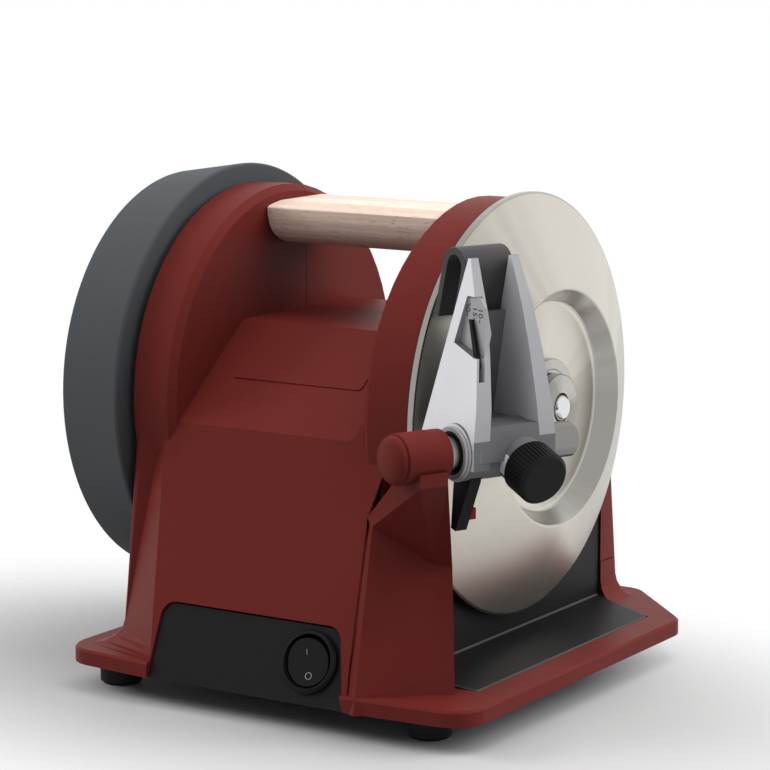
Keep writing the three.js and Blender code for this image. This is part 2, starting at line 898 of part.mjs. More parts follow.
function rockerBezel() {
  const ring = turnedZ([
    [seatGap, bezelBodyRadius], [seatGap, bezelRadius], [bezelRise - bezelLip / 2, bezelRadius],
    [bezelRise, bezelRadius - bezelLip / 2], [bezelRise, bezelRadius - bezelLip],
    [bezelRise - bezelLip / 2, bezelBore], [-rockerDepth - seatGap, bezelBore], [-rockerDepth - seatGap, 0],
    [-bezelDepth, 0], [-bezelDepth, bezelBodyRadius], [seatGap, bezelBodyRadius],
  ], 28);
  return ring;
}

function rockerButton() {
  const pin = rockerDepth / 2;
  const radius = bezelBore - seatGap * 2;
  const body = solid(turnedZ(rodProfile(-rockerDepth + pin, rockerRise + bezelRise, radius), 28));
  const scoopRadius = bezelRadius * 4;
  const scoop = solid(turnedX(rodProfile(-bezelRadius, bezelRadius, scoopRadius), 160)
    .translate(0, 0, scoopRadius + bezelRise - rockerRise / 4));
  return { body, scoop };
}

// Handle

function handleMiddle() {
  return (handleBottom + handleTop) / 2;
}

function handleOutline() {
  const half = handleHalfDepth;
  const bend = handleTop - handleBottom;
  const outline = new THREE.Path();
  outline.moveTo(handleCentreY - handleTopHalf, handleTop);
  outline.quadraticCurveTo(handleCentreY - half, handleTop - bend / 16, handleCentreY - half, handleTop - bend / 8);
  outline.bezierCurveTo(
    handleCentreY - half, handleTop - bend * 5 / 8,
    handleCentreY - half * 3 / 4, handleBottom,
    handleCentreY, handleBottom);
  outline.bezierCurveTo(
    handleCentreY + half * 3 / 4, handleBottom,
    handleCentreY + half, handleTop - bend * 5 / 8,
    handleCentreY + half, handleTop - bend / 8);
  outline.quadraticCurveTo(handleCentreY + half, handleTop - bend / 16, handleCentreY + handleTopHalf, handleTop);
  return outline.getPoints(8);
}

function handle() {
  const grip = solid(prismX(handleOutline(), leftCheekInner + seatGap, rightCheekInner - seatGap));
  const reach = handleScrewReach + seatGap;
  const bores = [[leftCheekInner, leftCheekInner + reach], [rightCheekInner - reach, rightCheekInner]]
    .map(([start, end]) => solid(turnedX(rodProfile(start, end, handleScrewRadius + seatGap), 12)
      .translate(0, handleScrewY, handleMiddle())));
  return grip.subtract(join(...bores));
}

function handleScrew(x, turn) {
  const seat = -seatGap;
  return turnedX([
    [seat - handleScrewHeadHeight, 0], [seat - handleScrewHeadHeight, handleScrewHead],
    [seat, handleScrewHead], [seat, handleScrewRadius],
    [shellWall + handleScrewReach, handleScrewRadius], [shellWall + handleScrewReach, 0],
  ], 14).rotateY(turn).translate(x, handleScrewY, handleMiddle());
}

// Wheels and shaft

function grindingWheel() {
  const backSlope = coneRise / coneRun;
  const back = wheelRimX - wheelRimThickness;
  const innerRing = recessRadius + wheelWebThickness;
  const hubBack = wheelHubX;
  const floorBack = recessFloorX - wheelWebThickness;
  return turnedX([
    [wheelRimX - wheelRimBevel, wheelRadius],
    [wheelRimX, wheelRadius - wheelRimBevel],
    [recessRingX, recessRadius],
    [recessFloorX, recessFloorRadius],
    [recessFloorX, axleRadius + seatGap],
    [hubBack, axleRadius + seatGap],
    [hubBack, wheelHubRadius],
    [floorBack, wheelHubRadius],
    [floorBack, recessFloorRadius - wheelWebThickness],
    [back + (wheelRadius - innerRing) * backSlope, innerRing],
    [back, wheelRadius],
    [wheelRimX - wheelRimBevel, wheelRadius],
  ], 60);
}

function clampDisc() {
  const start = recessFloorX + seatGap;
  const end = start + clampDiscThickness;
  return turnedX([
    [start, threadRadius + seatGap], [start, clampDiscRadius], [end - clampDiscBevel, clampDiscRadius],
    [end, clampDiscRadius - clampDiscBevel], [end, threadRadius + seatGap], [start, threadRadius + seatGap],
  ], 28);
}

function clampNut() {
  const start = recessFloorX + seatGap + clampDiscThickness + seatGap;
  const end = start + clampNutHeight;
  const steps = 4;
  const dome = Array.from({ length: steps + 1 }, (_, i) => {
    const turn = Math.PI / 2 * i / steps;
    return [end - clampNutDome * (1 - Math.sin(turn)), clampNutRadius - clampNutDome * (1 - Math.cos(turn))];
  });
  return turnedX([
    [start, threadRadius + seatGap], [start, clampNutRadius], ...dome,
    [end, threadRadius + seatGap], [start, threadRadius + seatGap],
  ], 24);
}

function driveShaft() {
  const thread = recessFloorX;
  const leftThread = honingOuterX + honingDish;
  return turnedX([
    [axleLeftEnd, 0], [axleLeftEnd, threadRadius - axleEndRound / 2],
    [axleLeftEnd + axleEndRound / 2, threadRadius], [leftThread, threadRadius], [leftThread, axleRadius],
    [thread - seatGap, axleRadius], [thread - seatGap, threadRadius],
    [axleRightEnd - axleEndRound, threadRadius], [axleRightEnd, threadRadius - axleEndRound],
    [axleRightEnd, 0],
  ], 20);
}

function honingWheel() {
  const floor = honingOuterX + honingDish;
  return turnedX([
    [honingInnerX, axleRadius + seatGap], [honingInnerX, honingInnerRadius - honingEdge],
    [honingInnerX - honingEdge, honingInnerRadius], [honingOuterX + honingEdge, honingOuterRadius],
    [honingOuterX, honingOuterRadius - honingEdge], [honingOuterX, honingDishRadius],
    [floor, honingDishRadius - honingDish], [floor, axleRadius + seatGap],
    [honingInnerX, axleRadius + seatGap],
  ], 56);
}

function honingNut() {
  const seat = honingOuterX + honingDish - seatGap;
  const washer = seat - honingWasherThickness;
  const ring = solid(turnedX(ringProfile(washer, seat, threadRadius + seatGap, honingWasherRadius), 24));
  const hex = Array.from({ length: 6 }, (_, i) => new THREE.Vector2(
    Math.cos(i * Math.PI / 3) * honingNutRadius, Math.sin(i * Math.PI / 3) * honingNutRadius));
  const nut = solid(prismX(hex, washer - honingNutThickness, washer + seatGap));
  const bore = solid(turnedX(rodProfile(washer - honingNutThickness - overrun, seat + overrun,
    threadRadius + seatGap), 24));
  return ring.add(nut).subtract(bore);
}

// Drive

function bearing(start) {
  const end = start + bearingWidth;
  const inner = axleRadius + seatGap;
  const raceInner = inner + bearingRaceWall;
  const raceOuter = bearingRadius - bearingRaceWall;
  return turnedX([
    [start, inner], [start, raceInner], [start + bearingSealSink, raceInner],
    [start + bearingSealSink, raceOuter], [start, raceOuter], [start, bearingRadius],
    [end, bearingRadius], [end, raceOuter], [end - bearingSealSink, raceOuter],
    [end - bearingSealSink, raceInner], [end, raceInner], [end, inner], [start, inner],
  ], 16);
}

function driveFrame() {
  const half = frameUprightHalf;
  const upright = new THREE.Shape();
  const top = axleHeight;
  upright.moveTo(-half, frameFloor);
  upright.lineTo(half, frameFloor);
  upright.lineTo(frameHeadRadius, top);
  upright.absarc(0, top, frameHeadRadius, 0, Math.PI, false);
  upright.lineTo(-half, frameFloor);
  const outline = upright.getPoints(6);
  const left = solid(prismX(outline, frameLeft, frameLeft + frameThickness));
  const right = solid(prismX(outline, frameRight - frameThickness, frameRight));
  const floor = box(frameLeft, frameRight, frameFront, frameRear, frameFloor, frameFloor + frameThickness);
  const padTop = motorHeight - statorHalf - seatGap;
  const padHalf = statorLength / 2;
  const pads = [-1, 1].map((side) => box(statorMiddle - padHalf, statorMiddle + padHalf,
    side * statorHalf / 2 - frameThickness, side * statorHalf / 2 + frameThickness, frameFloor, padTop));
  const cupWidth = bearingWidth + frameThickness;
  const cups = [
    turnedX(rodProfile(frameLeft, frameLeft + cupWidth, bearingRadius + frameThickness), 20),
    turnedX(rodProfile(frameRight - cupWidth, frameRight, bearingRadius + frameThickness), 20),
  ].map((geometry) => solid(geometry.translate(0, 0, axleHeight)));
  const bore = solid(turnedX(rodProfile(frameLeft - overrun, frameRight + overrun,
    bearingRadius + seatGap), 20).translate(0, 0, axleHeight));
  const motorBore = solid(turnedX(rodProfile(frameLeft - overrun, frameRight + overrun,
    motorShaftRadius + seatGap), 12).translate(0, 0, motorHeight));
  return join(left, right, floor, ...pads, ...cups).subtract(bore).subtract(motorBore);
}

// A gear outline of straight-flanked teeth, with a tooth at the angle given
function toothOutline(teeth, pitchRadius, start) {
  const tipRadius = pitchRadius + gearModule * toothTipShare;
  const rootRadius = pitchRadius - gearModule * toothRootShare;
  const pitch = 2 * Math.PI / teeth;
  return Array.from({ length: teeth }, (_, i) => {
    const middle = start + i * pitch;
    const at = (radius, share) => new THREE.Vector2(
      Math.cos(middle + pitch * share) * radius, Math.sin(middle + pitch * share) * radius);
    return [at(rootRadius, -toothFootShare), at(tipRadius, -toothHeadShare),
      at(tipRadius, toothHeadShare), at(rootRadius, toothFootShare)];
  }).flat();
}

function driveGear() {
  const end = gearLeft + gearWidth;
  const teeth = solid(prismX(toothOutline(gearTeeth, gearRadius, -Math.PI / 2), gearLeft, end));
  const rim = gearRadius - gearModule * toothRootShare - gearRimWall;
  const sink = (gearWidth - gearWeb) / 2;
  const recess = (start, stop) => solid(turnedX(ringProfile(start, stop, gearHubRadius, rim), 24));
  const bore = solid(turnedX(rodProfile(gearLeft - overrun, end + overrun, axleRadius + seatGap), 16));
  return teeth
    .subtract(recess(gearLeft - overrun, gearLeft + sink))
    .subtract(recess(end - sink, end + overrun))
    .subtract(bore);
}

function motorRotor() {
  const half = statorLength / 2;
  const shaft = solid(turnedX(rodProfile(gearLeft, frameRight, motorShaftRadius), 12));
  const core = solid(turnedX(rodProfile(statorMiddle - half, statorMiddle + half, rotorRadius), 28));
  const meshing = Math.PI / 2 + Math.PI / pinionTeeth;
  const pinion = solid(prismX(toothOutline(pinionTeeth, pinionRadius, meshing), gearLeft, gearLeft + gearWidth));
  return join(shaft, core, pinion);
}

function coolingFan() {
  const start = statorMiddle + statorLength / 2 + coilReach + coilGap * 2;
  const end = start + fanThickness;
  const hub = solid(turnedX(rodProfile(start, end, fanHubRadius), 16));
  const ring = solid(turnedX(ringProfile(start, end, fanRadius - fanThickness / 4, fanRadius), 28));
  const blades = Array.from({ length: fanBlades }, (_, i) => {
    const blade = new THREE.BoxGeometry(fanThickness / 4, fanRadius - fanHubRadius, fanThickness);
    blade.rotateY(Math.PI / 4).translate((start + end) / 2, (fanRadius + fanHubRadius) / 2 - seatGap, 0);
    return solid(blade.rotateX(2 * Math.PI * i / fanBlades));
  });
  const trim = solid(turnedX(rodProfile(start, end, fanRadius), 28));
  const bore = solid(turnedX(rodProfile(start - overrun, end + overrun, motorShaftRadius + seatGap), 12));
  return join(hub, ring, ...blades).intersect(trim).subtract(bore);
}

function motorStator() {
  const half = statorLength / 2;
  const square = rounded([
    [-statorHalf, -statorHalf, statorCorner], [statorHalf, -statorHalf, statorCorner],
    [statorHalf, statorHalf, statorCorner], [-statorHalf, statorHalf, statorCorner],
  ]);
  const core = solid(prismX(square, statorMiddle - half, statorMiddle + half));
  const bore = solid(turnedX(rodProfile(statorMiddle - half - overrun, statorMiddle + half + overrun,
    rotorRadius + airGap), 28));
  return core.subtract(bore);
}

function motorCoil(side) {
  const face = statorMiddle + side * (statorLength / 2 + coilGap);
  const end = statorMiddle + side * (statorLength / 2 + coilReach);
  const edge = side * coilReach / 4;
  const inner = rotorRadius + airGap * 2;
  return turnedX([
    [face, inner], [face, coilOuterRadius], [end - edge, coilOuterRadius],
    [end, coilOuterRadius - coilReach / 4], [end, inner + coilReach / 4], [end - edge, inner], [face, inner],
  ], 24);
}

function capacitor() {
  const end = capacitorLeft + capacitorLength;
  return turnedX([
    [capacitorLeft, 0], [capacitorLeft, capacitorRadius - capacitorEdge],
    [capacitorLeft + capacitorEdge, capacitorRadius], [end - capacitorEdge, capacitorRadius],
    [end, capacitorRadius - capacitorEdge], [end, 0],
  ], 20);
}

function cableGland() {
  const rear = glandSeatPlace();
  const flange = rear + seatGap;
  const end = flange + glandFlangeThickness;
  return turnedY([
    [rear - glandInnerReach, glandBore], [rear - glandInnerReach, glandNeckRadius],
    [flange, glandNeckRadius], [flange, glandFlangeRadius],
    [end - glandFlangeThickness / 4, glandFlangeRadius], [end, glandFlangeRadius - glandFlangeThickness / 4],
    [end, glandBore], [rear - glandInnerReach, glandBore],
  ], 16);
}

// Bar and plug

function supportBar() {
  return turnedY([
    [barInnerEnd, 0], [barInnerEnd, barRadius], [barOuterEnd - barEndRound, barRadius],
    [barOuterEnd - barEndRound / 3, barRadius - barEndRound / 3],
    [barOuterEnd, barRadius - barEndRound], [barOuterEnd, 0],
  ], 28);
}

function barPlug() {
  const face = bossFrontEnd - seatGap;
  const rim = face - plugRim;
  const steps = 4;
  const dome = Array.from({ length: steps + 1 }, (_, i) => {
    const turn = Math.PI / 2 * i / steps;
    return [rim - plugDome * Math.cos(turn), plugRadius * Math.sin(turn)];
  });
  return turnedY([...dome, [face, plugRadius], [face, barRadius - seatGap],
    [face + plugStub, barRadius - seatGap], [face + plugStub, 0]], 24);
}

// Knife guide, drawn about the bar with X out from the wheel, Y along the bar and Z up

function armRear(height) {
  return armRearFoot + (height - armRearFootHeight) * armSlope;
}

// The share of the arm's table at a height, for column 1 (front edge) or 2 (thickness)
function armShare(height, column) {
  const share = THREE.MathUtils.clamp(height / guideTopHeight, 0, 1);
  const next = Math.max(armShares.findIndex((row) => row[0] >= share), 1);
  const [low, high] = [armShares[next - 1], armShares[next]];
  return blend(low[column], high[column], (share - low[0]) / (high[0] - low[0]));
}

function armFront(height) {
  return armFrontFoot * armShare(height, 1);
}

function guideHalf(height) {
  return blend(guideFootHalf, guideTopHalf, height / guideTopHeight);
}

function armThickness(height) {
  return blend(armTopThickness, armFootThickness, armShare(height, 2));
}

function armSection(height, side) {
  const outer = guideMiddle + side * guideHalf(height);
  const inner = outer - side * armThickness(height);
  const rear = armRear(Math.max(height, armRearFootHeight));
  const outline = [
    new THREE.Vector2(rear, outer), new THREE.Vector2(armFront(height), outer),
    new THREE.Vector2(armFront(height), inner), new THREE.Vector2(rear, inner),
  ];
  return { height, outline: side < 0 ? outline : outline.reverse() };
}

function guideArm(side) {
  const heights = armShares.map(([share]) => Math.max(share * guideTopHeight, armRearFootHeight));
  const foot = armSection(armRearFootHeight, side);
  const rear = armRearFoot / 3;
  const hem = foot.outline.map((point) => new THREE.Vector2(Math.max(point.x, rear), point.y));
  const lower = { height: -sleeveRadius / 2, outline: hem };
  return solid(loft([lower, ...heights.map((height) => armSection(height, side))]));
}

function guideWeb() {
  const section = (height) => {
    const half = guideHalf(height) - armThickness(height) / 2;
    const rear = armRear(height);
    return { height, outline: [
      new THREE.Vector2(rear, guideMiddle - half), new THREE.Vector2(rear + webThickness, guideMiddle - half),
      new THREE.Vector2(rear + webThickness, guideMiddle + half), new THREE.Vector2(rear, guideMiddle + half),
    ] };
  };
  return solid(loft([section(armRearFootHeight), section(webTop)]));
}

function guideFloor() {
  const half = guideFootHalf - armFootThickness / 2;
  const rear = armRear(armRearFootHeight);
  const outline = [
    new THREE.Vector2(rear, armRearFootHeight), new THREE.Vector2(0, -sleeveRadius / 2),
    new THREE.Vector2(armFrontFoot, -sleeveRadius / 4), new THREE.Vector2(armFront(floorHeight), floorHeight),
    new THREE.Vector2(armRear(floorHeight), floorHeight),
  ];
  return solid(prismY(outline, guideMiddle - half, guideMiddle + half));
}

function scaleWindow() {
  const front = armFrontFoot + overrun;
  const outer = (height) => guideMiddle - guideHalf(height);
  const outline = [
    new THREE.Vector2(windowTopPlace, windowTopHeight), new THREE.Vector2(windowRearPlace, windowRearHeight),
    new THREE.Vector2(windowFrontPlace, windowFrontHeight), new THREE.Vector2(front, windowFrontHeight),
    new THREE.Vector2(front, windowTopHeight),
  ];
  const taper = (guideFootHalf - guideTopHalf) / guideTopHeight;
  const cutter = prismY(outline, outer(0) - overrun, outer(0) + windowDepth);
  return solid(cutter.applyMatrix4(new THREE.Matrix4().makeShear(0, 0, 0, 0, 0, taper)));
}

// The passage from the bush up to the window, wide enough for the pointer's swing
function pointerPassage() {
  const tipShare = (windowRearHeight - pointerKneeHeight) / (pointerTipHeight - pointerKneeHeight);
  const section = (height, place, half) => {
    const outer = guideMiddle - guideHalf(height) + pointerDepth;
    const rear = place - half - height * Math.tan(swingOut * rad) - seatGap * 2;
    const front = place + half + height * Math.tan(swingIn * rad) + seatGap * 2;
    const near = outer - seatGap * 2;
    const far = outer + pointerThickness + seatGap * 2;
    return { height, outline: [
      new THREE.Vector2(rear, near), new THREE.Vector2(front, near),
      new THREE.Vector2(front, far), new THREE.Vector2(rear, far),
    ] };
  };
  return solid(loft([
    section(0, 0, pointerRootHalf),
    section(barRadius + seatGap, 0, pointerRootHalf),
    section(pointerKneeHeight, pointerKneePlace, pointerKneeHalf),
    section(windowRearHeight, blend(pointerKneePlace, pointerTipPlace, tipShare), pointerKneeHalf),
  ]));
}

function leverPassage() {
  const rear = -leverTopHalf - leverThickness / 2 - sleeveRadius * Math.tan(swingIn * rad);
  const front = leverTopHalf + sleeveRadius * Math.tan(swingOut * rad);
  const gap = seatGap * 2;
  return box(rear - gap, front + gap, leverLeft - gap, leverLeft + leverWidth + gap, -sleeveRadius - overrun, 0);
}

function knobAxisPlace(geometry) {
  return geometry.rotateY(knobTilt * rad).translate(0, knobPlace, 0);
}

function guideBody() {
  const left = guideMiddle - guideFootHalf;
  const right = guideMiddle + guideFootHalf;
  const sleeve = solid(turnedY(rodProfile(left, right, sleeveRadius), 32));
  const bore = solid(turnedY(rodProfile(left - overrun, right + overrun, sleeveBore), 28));
  const boss = solid(knobAxisPlace(turnedX(rodProfile(0, knobStart - seatGap, knobBossRadius), 28)));
  const stud = solid(knobAxisPlace(turnedX(
    rodProfile(0, knobStart + overrun, knobStudRadius + seatGap), 12)));
  return join(guideArm(-1), guideArm(1), guideWeb(), guideFloor(), sleeve, boss)
    .subtract(scaleWindow())
    .subtract(pointerPassage())
    .subtract(leverPassage())
    .subtract(bore)
    .subtract(stud);
}

function jawOutline() {
  const steps = 10;
  const arc = (radius, turnFrom, turnTo) => Array.from({ length: steps + 1 }, (_, i) => {
    const turn = blend(turnFrom, turnTo, i / steps);
    return new THREE.Vector2(Math.cos(turn) * radius, Math.sin(turn) * radius);
  });
  const fall = 1 / Math.cos(Math.atan(armSlope));
  const front = -(jawArchHeight - jawFrontEnd) * fall;
  const rear = -(jawArchHeight - jawRearEnd) * fall;
  return [
    new THREE.Vector2(jawOuterHalf, front), ...arc(jawOuterHalf, 0, Math.PI),
    new THREE.Vector2(-jawOuterHalf, rear), new THREE.Vector2(-slotHalf, rear),
    ...arc(slotHalf, Math.PI, 0), new THREE.Vector2(slotHalf, front),
  ];
}

function jawLiner() {
  const lean = Math.atan(armSlope);
  const place = armRear(jawArchHeight) - (jawOuterHalf + seatGap) / Math.cos(lean);
  return prismY(jawOutline(), -guideTopHalf, guideTopHalf)
    .rotateY(lean).translate(place, guideMiddle, jawArchHeight);
}

function angleStop() {
  const left = guideMiddle - guideFootHalf;
  const right = guideMiddle + guideFootHalf;
  const inner = barRadius + seatGap;
  const outer = inner + bushWall;
  const rimEnd = left - seatGap;
  const rimStart = rimEnd - bushOverhang;
  const bush = solid(turnedY([
    [rimStart, inner], [rimStart, bushRimRadius], [rimEnd, bushRimRadius], [rimEnd, outer],
    [right, outer], [right, inner], [rimStart, inner],
  ], 24));
  const lever = solid(prismY([
    new THREE.Vector2(-leverTopHalf, -inner), new THREE.Vector2(leverLean - leverThickness / 2, -leverReach),
    new THREE.Vector2(leverLean + leverThickness / 2, -leverReach - leverThickness / 4),
    new THREE.Vector2(leverTopHalf, -sleeveRadius), new THREE.Vector2(leverTopHalf, -inner),
  ], leverLeft, leverLeft + leverWidth));
  const section = (height, place, half) => {
    const face = guideMiddle - guideHalf(height) + pointerDepth;
    return { height, outline: [
      new THREE.Vector2(place - half, face), new THREE.Vector2(place + half, face),
      new THREE.Vector2(place + half, face + pointerThickness),
      new THREE.Vector2(place - half, face + pointerThickness),
    ] };
  };
  const pointer = solid(loft([
    section(inner, 0, pointerRootHalf),
    section(pointerKneeHeight, pointerKneePlace, pointerKneeHalf),
    section(pointerTipHeight, pointerTipPlace, pointerTipHalf),
  ]));
  const clear = solid(turnedY(rodProfile(left - overrun, right + overrun, inner), 24));
  return join(bush, lever.subtract(clear), pointer);
}

function stopTip() {
  const start = leverLeft + leverWidth + seatGap;
  const height = -leverReach + tipRise;
  return boxGeometry(leverLean - tipHalf, leverLean + tipHalf, start, start + tipLength,
    height - tipHalf, height + tipHalf);
}

function knobOutline() {
  const count = knobGrooves * 4;
  return Array.from({ length: count }, (_, i) => {
    const inward = i % 4 > 1 ? knobGrooveDepth : 0;
    const turn = 2 * Math.PI * i / count;
    return new THREE.Vector2(Math.cos(turn) * (knobRadius - inward), Math.sin(turn) * (knobRadius - inward));
  });
}

function angleKnob() {
  const grip = solid(prismX(knobOutline(), knobStart, knobStart + knobLength));
  const round = solid(turnedX([
    [knobStart, 0], [knobStart, knobRadius - knobGrooveDepth * 2],
    [knobStart + knobGrooveDepth * 2, knobRadius], [knobStart + knobLength - knobGrooveDepth * 2, knobRadius],
    [knobStart + knobLength, knobRadius - knobGrooveDepth * 2],
    [knobStart + knobLength - knobFaceSink, knobRadius - knobGrooveDepth * 4],
    [knobStart + knobLength - knobFaceSink, 0],
  ], 32));
  const studReach = barRadius + seatGap * 2 + bushWall;
  const stud = solid(turnedX(rodProfile(studReach + seatGap, knobStart + seatGap, knobStudRadius), 12));
  return grip.intersect(round).add(stud);
}

// Assembly

function finish(colour, roughness, metalness) {
  return new THREE.MeshStandardMaterial({ color: colour, roughness, metalness });
}

const redShell = finish(0x6e2826, 0.5, 0);
const darkPlastic = finish(0x232425, 0.55, 0);
const blackRubber = finish(0x1c1c1d, 0.8, 0);
const beech = finish(0xd2ab8c, 0.6, 0);
const groundSteel = finish(0xb5b0a6, 0.35, 0.9);
const polishedSteel = finish(0xc9cbcd, 0.2, 1);
const castAluminium = finish(0xa9abae, 0.45, 0.8);
const composite = finish(0x46494b, 0.8, 0);
const zincSteel = finish(0x9b9fa3, 0.4, 0.9);
const copper = finish(0x9a5a33, 0.4, 0.8);
const redPlastic = finish(0x9c1f2b, 0.45, 0);

function piece(name, shape, material) {
  const geometry = shape instanceof THREE.BufferGeometry ? weld(shape) : geometryOf(shape);
  geometry.computeVertexNormals();
  const mesh = new THREE.Mesh(geometry, material);
  mesh.name = name;
  return mesh;
}

function housingGroup() {
  const group = new THREE.Group();
  const whole = housing();
  group.add(
    piece('front_shell', frontShell(whole), redShell),
    piece('rear_shell', rearShell(whole), redShell),
    piece('base_plate', basePlate(), darkPlastic),
    piece('side_tray', sideTray(), darkPlastic),
    piece('switch_panel', switchPanel(), darkPlastic),
    piece('handle', handle(), beech),
    piece('handle_screw_left', handleScrew(leftCheekInner - shellWall, 0), zincSteel),
    piece('handle_screw_right', handleScrew(rightCheekInner + shellWall, Math.PI), zincSteel),
  );
  const gland = piece('cable_gland', cableGland(), blackRubber);
  gland.position.set(glandX, 0, glandHeight);
  group.add(gland);
  const names = ['foot_front_left', 'foot_front_right', 'foot_rear_left', 'foot_rear_right'];
  footPlaces().forEach(([x, y], i) => {
    const mesh = piece(names[i], foot(), blackRubber);
    mesh.position.set(x, y, 0);
    group.add(mesh);
  });
  return group;
}

function switchGroup() {
  const { body, scoop } = rockerButton();
  const button = geometryOf(body.subtract(scoop)).rotateX(rockerHalfThrow * rad);
  const group = new THREE.Group();
  group.add(
    piece('rocker_bezel', onSwitch(rockerBezel()), darkPlastic),
    piece('rocker_button', onSwitch(button), darkPlastic),
  );
  return group;
}

function axleGroup() {
  const group = new THREE.Group();
  group.position.z = axleHeight;
  group.add(
    piece('grinding_wheel', grindingWheel(), groundSteel),
    piece('clamp_disc', clampDisc(), groundSteel),
    piece('clamp_nut', clampNut(), groundSteel),
    piece('drive_shaft', driveShaft(), polishedSteel),
    piece('honing_wheel', honingWheel(), composite),
    piece('honing_nut', honingNut(), zincSteel),
    piece('drive_gear', driveGear(), darkPlastic),
    piece('bearing_left', bearing(frameLeft + frameThickness), polishedSteel),
    piece('bearing_right', bearing(frameRight - frameThickness - bearingWidth), polishedSteel),
  );
  return group;
}

function motorGroup() {
  const group = new THREE.Group();
  const motor = new THREE.Group();
  motor.position.z = motorHeight;
  motor.add(
    piece('motor_stator', motorStator(), zincSteel),
    piece('motor_rotor', motorRotor(), zincSteel),
    piece('cooling_fan', coolingFan(), darkPlastic),
    piece('coil_left', motorCoil(-1), copper),
    piece('coil_right', motorCoil(1), copper),
  );
  const can = piece('capacitor', capacitor(), zincSteel);
  can.position.set(0, frameRear - capacitorRadius, frameFloor + frameThickness + seatGap + capacitorRadius);
  group.add(piece('drive_frame', driveFrame(), zincSteel), motor, can);
  return group;
}

function guideGroup() {
  const group = new THREE.Group();
  group.rotation.z = -coneAngle;
  group.position.set(Math.cos(coneAngle) * barOffset, -Math.sin(coneAngle) * barOffset, barHeight);
  group.add(
    piece('support_bar', supportBar(), polishedSteel),
    piece('bar_plug', barPlug(), redShell),
    piece('guide_body', guideBody(), castAluminium),
    piece('jaw_liner', jawLiner(), blackRubber),
    piece('angle_stop', angleStop(), darkPlastic),
    piece('stop_tip', stopTip(), redPlastic),
    piece('angle_knob', knobAxisPlace(geometryOf(angleKnob())), blackRubber),
  );
  return group;
}

const sharpener = new THREE.Group();
sharpener.add(housingGroup(), switchGroup(), axleGroup(), motorGroup(), guideGroup());

// The part's origin is the middle of its footprint, on the surface that it stands on
const bounds = new THREE.Box3().setFromObject(sharpener, true);
const middle = bounds.getCenter(new THREE.Vector3());
sharpener.position.set(-middle.x, -middle.y, -bounds.min.z);
sharpener.updateMatrixWorld(true);

export default sharpener;
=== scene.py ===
"""Finished surfaces of an electric knife sharpener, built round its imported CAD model."""

import json
import math

import bpy
from mathutils import Matrix, Vector


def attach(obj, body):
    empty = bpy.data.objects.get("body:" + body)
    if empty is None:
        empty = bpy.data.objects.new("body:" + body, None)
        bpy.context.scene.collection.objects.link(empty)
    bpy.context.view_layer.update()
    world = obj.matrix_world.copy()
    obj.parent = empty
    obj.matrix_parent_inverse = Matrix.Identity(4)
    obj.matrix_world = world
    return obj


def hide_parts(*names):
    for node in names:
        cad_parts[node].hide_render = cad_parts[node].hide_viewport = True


bl_info = {
    "name": "Knife Sharpener",
    "version": (1, 0, 0),
    "blender": (4, 5, 0),
    "location": "3D View > Sidebar > Sharpener",
    "description": "Models and finishes an electric knife sharpener",
    "category": "Object",
}

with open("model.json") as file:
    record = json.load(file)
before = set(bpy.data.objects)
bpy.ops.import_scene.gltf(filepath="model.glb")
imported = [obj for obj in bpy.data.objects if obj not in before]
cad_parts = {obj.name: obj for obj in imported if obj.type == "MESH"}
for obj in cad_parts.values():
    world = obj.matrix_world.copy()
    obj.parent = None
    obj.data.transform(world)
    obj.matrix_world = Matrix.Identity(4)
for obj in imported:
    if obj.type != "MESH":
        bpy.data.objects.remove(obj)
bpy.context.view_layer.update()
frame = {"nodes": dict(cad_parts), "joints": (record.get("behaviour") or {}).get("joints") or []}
joints = {joint["name"]: joint for joint in frame["joints"]}

MM = 0.001

# Corners that are closer than this are one, in a CAD mesh and in a turned piece
MERGE_DISTANCE = 0.001 * MM
AXIS_MERGE_DISTANCE = 0.002 * MM

# Faces of a CAD mesh that meet at less than this angle, in degrees, are one flat face
FLAT_ANGLE = 0.3

# Steps of a turned piece round its axis
WHEEL_STEPS = 192
SMALL_STEPS = 96

X_AXIS = Vector((1, 0, 0))
Z_AXIS = Vector((0, 0, 1))

# The wheel axle, the rocker's pivot, the bar and the knob, from the model's joints
AXLE = Vector(joints["wheel_spin"]["pos_m"])
ROCKER_PIVOT = Vector(joints["switch_rock"]["pos_m"])
BAR_ALONG = Vector(joints["guide_slide"]["axis"]).normalized()
BAR_OUT = BAR_ALONG.cross(Z_AXIS).normalized()
BAR_POINT = Vector(joints["guide_tilt"]["pos_m"])
KNOB_AXIS = Vector(joints["knob_turn"]["axis"]).normalized()
KNOB_POINT = Vector(joints["knob_turn"]["pos_m"])

# The sloping front face: out of it, and up along it
FRONT_OUT = Vector((0, -0.9365, 0.3506)).normalized()
FRONT_UP = X_AXIS.cross(FRONT_OUT) * -1

# The steel wheel in millimetres: its rim along the axle, the rise of its cone towards the
# middle, and the edge of its recess
WHEEL_RADIUS = 75
RIM_PLACE = 57
CONE_SLOPE = 14.87 / 33.63
RECESS_RADIUS = 41.4
RECESS_PLACE = RIM_PLACE + (WHEEL_RADIUS - RECESS_RADIUS) * CONE_SLOPE


# Shaders


